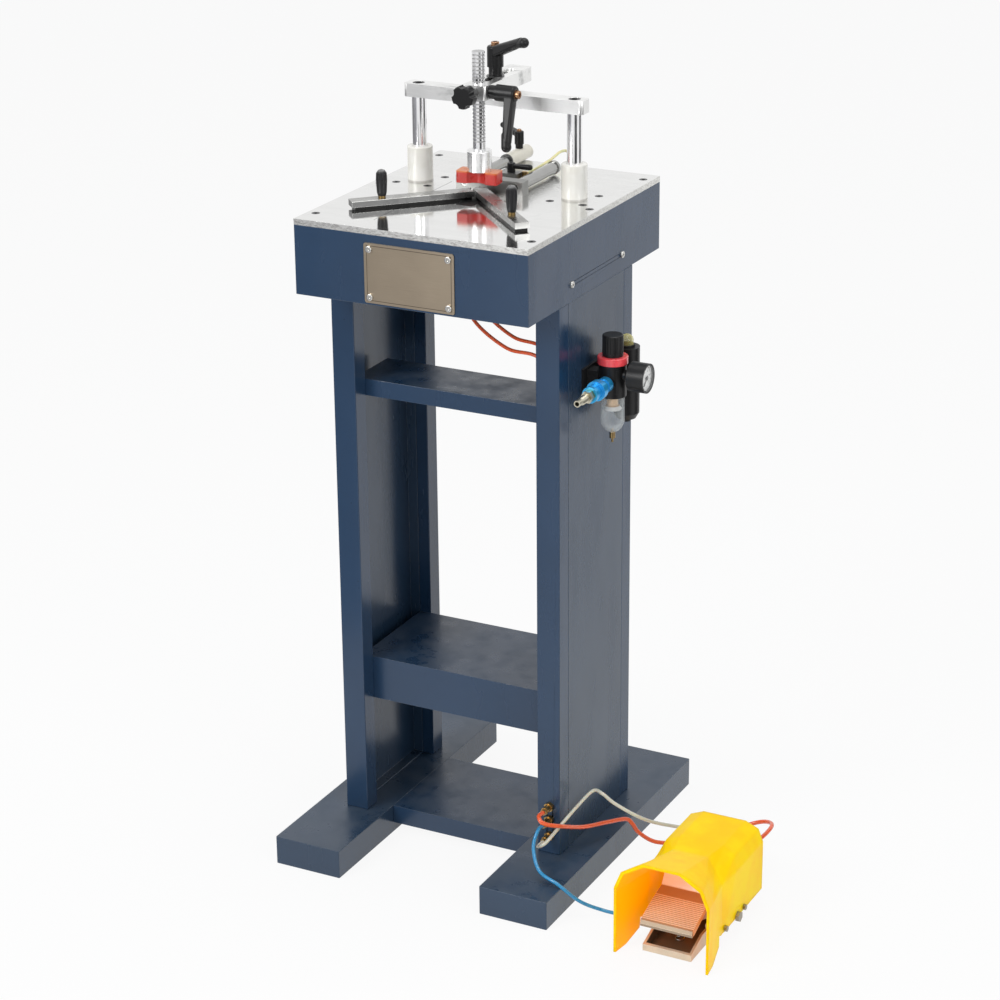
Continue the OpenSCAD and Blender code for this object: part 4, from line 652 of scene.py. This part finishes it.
def unit_plastic(name, colour):
    """Moulded body of the air unit, satin, with a fine grain."""
    f = Finish(name)
    grain = f.noise(0.0007, 3)
    cloud = f.noise(0.02, 3)
    edge = f.edges(0.0006)
    # edges lightened: partly wear, partly a painted highlight
    tone = f.mix(f.tint(colour, cloud * 0.5 + 0.75), (0.07, 0.07, 0.072), edge * 0.35)
    return f.wear(base=tone, rough=0.30 + cloud * 0.12, specular=0.35, normal=f.relief(grain, 0.00002))


def clear_plastic(name, colour, thin, thick):
    """Clear polycarbonate, denser where the wall is seen edge on, with hazy patches."""
    f = Finish(name)
    haze = f.noise(0.01, 3).above(0.55, 0.1)
    facing = f.node("LayerWeight", {}, {"Blend": 0.35}, 1)
    return f.wear(base=f.tint(colour, 1.0 - haze * 0.05), rough=haze * 0.10 + 0.06,
                  alpha=facing * (thick - thin) + thin, normal=f.relief(f.noise(0.006, 2), 0.00005))


def filter_finish():
    """Tan sintered filter over a white deflector."""
    f = Finish("filter_element")
    tan = f.z.above(0.6797)
    grain = f.spots(0.0009)
    tone = f.mix((0.80, 0.80, 0.78), f.tint((0.72, 0.50, 0.30), grain * 0.5 + 0.7), tan)
    return f.wear(base=tone, rough=0.6, normal=f.relief(grain, 0.0002))


def brass(name, colour, nickel=None):
    """Turned brass, a little tarnished. The hose tail is plated."""
    f = Finish(name)
    tarnish = f.noise(0.006, 4, 0.6)
    edge = f.edges(0.0004)
    tone = f.tint(colour, tarnish * 0.6 + 0.65)
    if nickel:
        tone = f.mix(tone, nickel, f.y.below(-0.094) * f.z.above(0.6))
    # edges lightened: partly wear, partly a painted highlight
    tone = f.mix(tone, (0.85, 0.75, 0.5), edge * 0.4)
    return f.wear(base=tone, metal=1.0, rough=0.20 + tarnish * 0.2, normal=f.relief(tarnish, 0.00004))


def blue_anodised():
    """Blue anodised valve, paler on its turned edges, partly wear and partly a painted highlight."""
    f = Finish("blue_anodised")
    lines = f.noise(0.0006, 2, 0.6)
    edge = f.edges(0.0006)
    # edges lightened: partly wear, partly a painted highlight
    tone = f.mix(f.tint((0.03, 0.40, 0.80), lines * 0.3 + 0.85), (0.25, 0.68, 0.95), edge * 0.5)
    return f.wear(base=tone, metal=0.55, rough=0.26 + lines * 0.08, coat=0.2)


def hood_plastic():
    """Thick yellow moulding that lets light through, scuffed near the floor, with painted light inside:
    deeper orange on its inner faces and a painted glow.
    """
    f = Finish("yellow_moulding")
    swirl = f.noise(0.05, 3, 0.5)
    scuff = f.noise(0.004, 4, 0.7, along=(1, 6, 1)).above(0.62, 0.05) * f.z.below(0.03, 0.02)
    outward = f.vector("MULTIPLY", f.vector("SUBTRACT", f.place, tuple(at(PEDAL_X, 0, 50))), (1.0, 0.0, 1.0))
    inside = f.vector("DOT_PRODUCT", f.node("NewGeometry", out=1), outward, out=1).below(-0.004, 0.004)
    tone = f.mix((0.97, 0.55, 0.001), (1.0, 0.67, 0.003), swirl.above(0.5, 0.2))
    # painted light: the inner faces deepened to orange, standing for light through the wall
    tone = f.mix(tone, (1.0, 0.40, 0.0), inside)
    tone = f.mix(tone, (0.45, 0.33, 0.12), scuff * 0.5)
    # painted glow: emission that stands for light coming through the wall, stronger on the inner faces
    through = f.mix((0.10, 0.065, 0.0), (0.34, 0.13, 0.0), inside)
    return f.wear(base=tone, rough=0.34 + swirl * 0.10 + scuff * 0.2, specular=0.10,
                  under=0.5, under_scale=0.006, under_radius=(1.0, 0.45, 0.02),
                  glow=through, glow_strength=1.0,
                  normal=f.relief(f.noise(0.006, 2), 0.00005, f.rounded(0.007)))


def tray_finish():
    """Champagne paint outside the tray and on its rims, darker inside, with edges lightened partly by wear
    and partly as a painted highlight.
    """
    f = Finish("champagne_casting")
    sand = f.noise(0.0013, 3, 0.6)
    cloud = f.noise(0.02, 3)
    edge = f.edges(0.0010)
    inside = (abs(f.x - 0.264).below(0.0315, 0.0002) * f.y.above(-0.2205, 0.0002)
              * f.y.below(-0.0505, 0.0002) * f.z.below(0.0205, 0.0002))
    tone = f.mix((0.68, 0.57, 0.43), (0.15, 0.11, 0.07), inside)
    tone = f.tint(tone, sand * 0.24 + cloud * 0.3 + 0.72)
    # edges lightened: partly wear, partly a painted highlight
    tone = f.mix(tone, (0.80, 0.72, 0.60), edge * (1 - inside * 0.8) * 0.8)
    return f.wear(base=tone, metal=0.4, rough=0.34 + sand * 0.10, normal=f.relief(sand, 0.00008))


def treadle_finish():
    """Bronze paint, pale on the crests of the ribs, with a champagne front lip, an upstand made pale as
    painted light from the hood's glow, and edges lightened partly by wear and partly as a painted highlight.
    """
    f = Finish("rose_bronze_casting")
    sand = f.noise(0.0013, 3, 0.6)
    cloud = f.noise(0.03, 3)
    edge = f.edges(0.0010)
    phase = f.math("FRACT", (f.y + 0.224) / RIB_PITCH)
    crest = abs(phase - 0.5).below(0.22, 0.08) * f.y.between(-0.2235, -0.1775) * f.z.above(0.036)
    lip = f.y.below(-0.2245, 0.0006)
    upstand = f.y.above(-0.1585, 0.0015) * f.z.above(0.058)
    tone = f.mix((0.42, 0.245, 0.135), (0.92, 0.74, 0.55), crest * 0.95)
    tone = f.mix(tone, (0.34, 0.265, 0.185), lip)
    # painted light: the upstand made pale, standing for the glow through the hood that lights it
    tone = f.mix(tone, (0.88, 0.82, 0.78), upstand)
    tone = f.tint(tone, sand * 0.20 + cloud * 0.24 + 0.78)
    # edges lightened: partly wear, partly a painted highlight
    tone = f.mix(tone, (0.90, 0.74, 0.58), edge * 0.6)
    return f.wear(base=tone, metal=lip * 0.3 + 0.2, rough=0.34 + sand * 0.10, normal=f.relief(sand, 0.00006))


def cast_paint(name, colour, worn):
    """Metallic paint on a sand casting: fine bumps, with its raised edges rubbed bright, partly wear and
    partly a painted highlight.
    """
    f = Finish(name)
    sand = f.noise(0.0013, 3, 0.6)
    cloud = f.noise(0.03, 3)
    edge = f.edges(0.0010)
    tone = f.tint(colour, sand * 0.24 + cloud * 0.3 + 0.72)
    # edges lightened: partly wear, partly a painted highlight
    tone = f.mix(tone, worn, edge * 0.7)
    return f.wear(base=tone, metal=0.35, rough=0.36 + sand * 0.10, normal=f.relief(sand, 0.00008))


def dress(tray):
    """Gives every node its finish. The tubes have theirs from hose."""
    navy = enamel("navy_enamel", (0.014, 0.040, 0.088))
    # painted light: a greyer copy of the navy enamel for the feet and side panels, standing for how light
    # falls on the sides
    side_navy_painted_light = enamel("navy_enamel_sides_painted_light", (0.020, 0.044, 0.084))
    chrome = bright_metal("hard_chrome", (0.86, 0.86, 0.87), 0.09)
    satin_chrome = bright_metal("satin_chrome", (0.84, 0.84, 0.84), 0.20, (1, 1, 12))
    alloy = milled_alloy()
    plastic = black_plastic()
    grip = fluted_grip()
    fence = fence_steel()
    guide = bright_metal("ground_guide", (0.46, 0.46, 0.45), 0.18, (1, 40, 1))
    rods = bright_metal("ground_rod", (0.40, 0.40, 0.39), 0.14, (1, 40, 1))
    rail = dark_steel("milled_rail", (0.34, 0.34, 0.33), 0.30, 1.0)
    oxide = dark_steel("black_oxide", (0.035, 0.035, 0.037), 0.38)
    insert = dark_steel("blackened_insert", (0.022, 0.022, 0.023), 0.34)
    unit = unit_plastic("air_unit_plastic", (0.010, 0.010, 0.0105))
    blue = blue_anodised()
    finishes = {
        "feet": side_navy_painted_light, "stand_posts": navy, "side_panels": side_navy_painted_light, "shelves": navy, "housing": navy,
        "table_plate": table_steel(),
        "screws": screw_steel(),
        "nameplate": plate_bronze(),
        "post_collars": ivory(),
        "clamp_cylinders": alloy, "press_rods": chrome, "crossbar": alloy, "crossbar_screws": oxide,
        "slide_arm": alloy, "arm_lever": plastic, "column_lever": plastic, "star_knob": plastic,
        "clamp_column": ribbed_chrome(),
        "pad_foot": satin_chrome,
        "pressure_pad": pad_rubber(),
        "fence_left": fence, "fence_right": fence, "fence_pin": guide, "grip_left": grip, "grip_right": grip,
        "guide_block": dark_steel("milled_guide", (0.30, 0.30, 0.29), 0.32, 1.0),
        "guide_rods": rods,
        "stop_sleeve": sleeve_plastic(),
        "sleeve_lever": plastic,
        "nail_rails": rail, "nail_pusher": rail, "nail_driver": rail,
        "nail_strip": brass("plated_nails", (0.50, 0.42, 0.25)),
        "pusher_lever": plastic, "drive_cylinder": alloy, "driver_insert": insert,
        "air_bracket": unit, "regulator_body": unit, "regulator_knob": unit, "lubricator_body": unit,
        "regulator_ring": tube_finish("red_ring_plastic", (0.90, 0.08, 0.095)),
        "filter_bowl": clear_plastic("clear_bowl", (0.72, 0.76, 0.77), 0.05, 0.62),
        "filter_element": filter_finish(),
        "bowl_drain": brass("drain_brass", (0.40, 0.28, 0.13)),
        "sight_dome": clear_plastic("oil_yellow_dome", (0.82, 0.74, 0.26), 0.30, 0.85),
        "gauge_body": unit_plastic("gauge_case", (0.009, 0.009, 0.0095)),
        "gauge_needle": unit_plastic("needle_black", (0.02, 0.02, 0.02)),
        "slide_valve_body": blue, "slide_valve_sleeve": blue,
        "fittings": brass("fitting_brass", (0.50, 0.33, 0.13), (0.58, 0.55, 0.44)),
        "pedal_base": tray,
        "pedal_guard": hood_plastic(),
        "treadle": treadle_finish(),
        "pedal_fasteners": dark_steel("plated_fastener", (0.34, 0.30, 0.24), 0.30, 1.0),
        "valve_body": cast_paint("champagne_valve", (0.62, 0.50, 0.36), (0.8, 0.7, 0.55)),
        "valve_spool": guide,
    }
    for name, finish in finishes.items():
        slots = NODES[name].data.materials
        slots.clear()
        slots.append(finish)


# ---------------------------------------------------------------- gauge face

GAUGE = at(252.9, -24, 724)                # middle of the dial, which faces +X
SCALE_START, SCALE_SWEEP = 225, 270        # degrees about the dial's middle
SPACES, NUMBERED = 50, 5                   # spaces on the scale, and those to each long mark
PRINT = 0.18                               # height of the print over the dial's seat, in mm


def flat_finish(name, colour):
    """Printed enamel with a faint mottle."""
    f = Finish(name)
    return f.wear(base=f.tint(colour, f.noise(0.004, 3) * 0.1 + 0.95), rough=0.4)


def on_dial(radius, mark, aside=0.0):
    """A point of the print on the line of a mark, or aside from it by an angle in radians."""
    angle = math.radians(SCALE_START - SCALE_SWEEP / SPACES * mark) + aside
    return GAUGE + Vector((PRINT, radius * math.cos(angle), radius * math.sin(angle))) * MM


def draw_dial(form):
    lathe(form, [(17.3, 0.02), (17.3, 0.14), (0, 0.14)], GAUGE)


def draw_marks(form):
    """A long mark at each number and four short ones between, with the arc that joins them."""
    outer, rim = 15.2, 15.6
    for mark in range(SPACES + 1):
        inner, half = (12.4, 0.026) if mark % NUMBERED == 0 else (13.6, 0.012)
        corners = [on_dial(inner, mark, -half), on_dial(outer, mark, -half),
                   on_dial(outer, mark, half), on_dial(inner, mark, half)]
        form.faces.new([form.verts.new(corner) for corner in corners])
    arc = [(form.verts.new(on_dial(outer, mark)), form.verts.new(on_dial(rim, mark)))
           for mark in range(SPACES + 1)]
    for (a, b), (c, d) in zip(arc, arc[1:]):
        form.faces.new([a, b, d, c])


def number_on_dial(value, ink):
    words = bpy.data.curves.new(f"gauge_number_{value}", "FONT")
    words.body = str(value)
    words.size = 4.2 * MM
    words.align_x, words.align_y = "CENTER", "CENTER"
    made = bpy.data.objects.new(words.name, words)
    facing = Matrix(((0, 0, 1), (1, 0, 0), (0, 1, 0))).to_4x4()
    made.matrix_world = Matrix.Translation(on_dial(9.6, value * NUMBERED)) @ facing
    bpy.context.scene.collection.objects.link(made)
    words.materials.append(ink)
    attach(made, "stand")


def draw_lens(form):
    lathe(form, [(17.4, 2.7), (17.4, 3.2), (12, 3.45), (0, 3.55)], GAUGE)


def fit_gauge_face():
    ink = flat_finish("dial_ink", (0.02, 0.02, 0.022))
    white = flat_finish("dial_white", (0.86, 0.86, 0.84))
    glass = clear_plastic("gauge_glass", (0.95, 0.96, 0.96), 0.04, 0.30)
    piece("gauge_dial", mesh_from("gauge_dial", draw_dial), white, "stand")
    piece("gauge_marks", mesh_from("gauge_marks", draw_marks), ink, "stand")
    for value in range(0, 11, 2):
        number_on_dial(value, ink)
    piece("gauge_lens", mesh_from("gauge_lens", draw_lens), glass, "stand")


# ---------------------------------------------------------------- pedal

SPRING_Y = -186                            # line of the spring, in mm from the middle of the stand


def draw_tray(form):
    """The cast tray, with its walls cut down along a slope to a low lip at the front."""
    front, lip, slope = -229.2, 9.5, (0.0, -0.30, 0.954)
    form.from_mesh(NODES["pedal_base"].data)
    bmesh.ops.remove_doubles(form, verts=form.verts, dist=0.01 * MM)
    cut = bmesh.ops.bisect_plane(form, geom=[*form.verts, *form.edges, *form.faces],
                                 plane_co=at(PEDAL_X, front, lip), plane_no=slope, clear_outer=True)
    open_edges = [e for e in cut["geom_cut"] if isinstance(e, bmesh.types.BMEdge)]
    bmesh.ops.holes_fill(form, edges=open_edges)
    bmesh.ops.dissolve_limit(form, angle_limit=math.radians(1), verts=form.verts, edges=form.edges)


def wind_spring(form):
    """Return spring between the tray and the treadle, with close coils at both ends."""
    wire, radius, turns, steps, sides = 0.8, 6.0, 8, 20, 8
    foot, spread, lead, close = 5.2, 40.0, 2.0, 0.12
    rings = []
    for k in range(turns * steps + 1):
        share = k / (turns * steps)
        rise = min(max((share - close) / (1 - 2 * close), 0.0), 1.0)
        angle = 2 * math.pi * k / steps
        out = Vector((math.cos(angle), math.sin(angle), 0))
        middle = at(PEDAL_X, SPRING_Y, foot + spread * rise + lead * share) + out * radius * MM
        rings.append([form.verts.new(middle + wire * MM * (out * math.cos(a) + Vector((0, 0, math.sin(a)))))
                      for a in (2 * math.pi * n / sides for n in range(sides))])
    for low, high in zip(rings, rings[1:]):
        for n in range(sides):
            form.faces.new([low[n], low[(n + 1) % sides], high[(n + 1) % sides], high[n]])
    form.faces.new(rings[0])
    form.faces.new(rings[-1])


def round_edges(made, radius, angle):
    """Eases the edges that turn by more than the angle, in degrees, by a radius in millimetres."""
    eased = made.modifiers.new("eased", "BEVEL")
    eased.width, eased.segments, eased.angle_limit = radius * MM, 2, math.radians(angle)
    return eased


def fit_pedal(tray):
    casting = piece("pedal_tray", mesh_from("pedal_tray", draw_tray), tray, "stand",
                    ("pedal_base",))
    round_edges(casting, 0.9, 40)
    steel = bright_metal("spring_steel", (0.55, 0.54, 0.52), 0.2)
    spring = piece("treadle_spring", mesh_from("treadle_spring", wind_spring), steel, "stand")
    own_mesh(spring)


# ---------------------------------------------------------------- edges

EASED = {"feet": 1.2, "stand_posts": 1.2, "shelves": 0.8, "housing": 0.8, "side_panels": 0.6,
         "table_plate": 0.6, "crossbar": 0.8, "slide_arm": 0.8, "fence_left": 0.5, "fence_right": 0.5,
         "guide_block": 0.6, "treadle": 0.5}


def ease_edges():
    """Small rounds on the edges of the tube, plate and bar work."""
    for name, radius in EASED.items():
        NODES[name].modifiers.new("joined", "WELD").merge_threshold = 0.01 * MM
        round_edges(NODES[name], radius, 50).harden_normals = True


tray_paint = tray_finish()
dress(tray_paint)
ease_edges()
fit_gauge_face()
fit_pedal(tray_paint)

bpy.context.scene.view_settings.view_transform = "Standard"
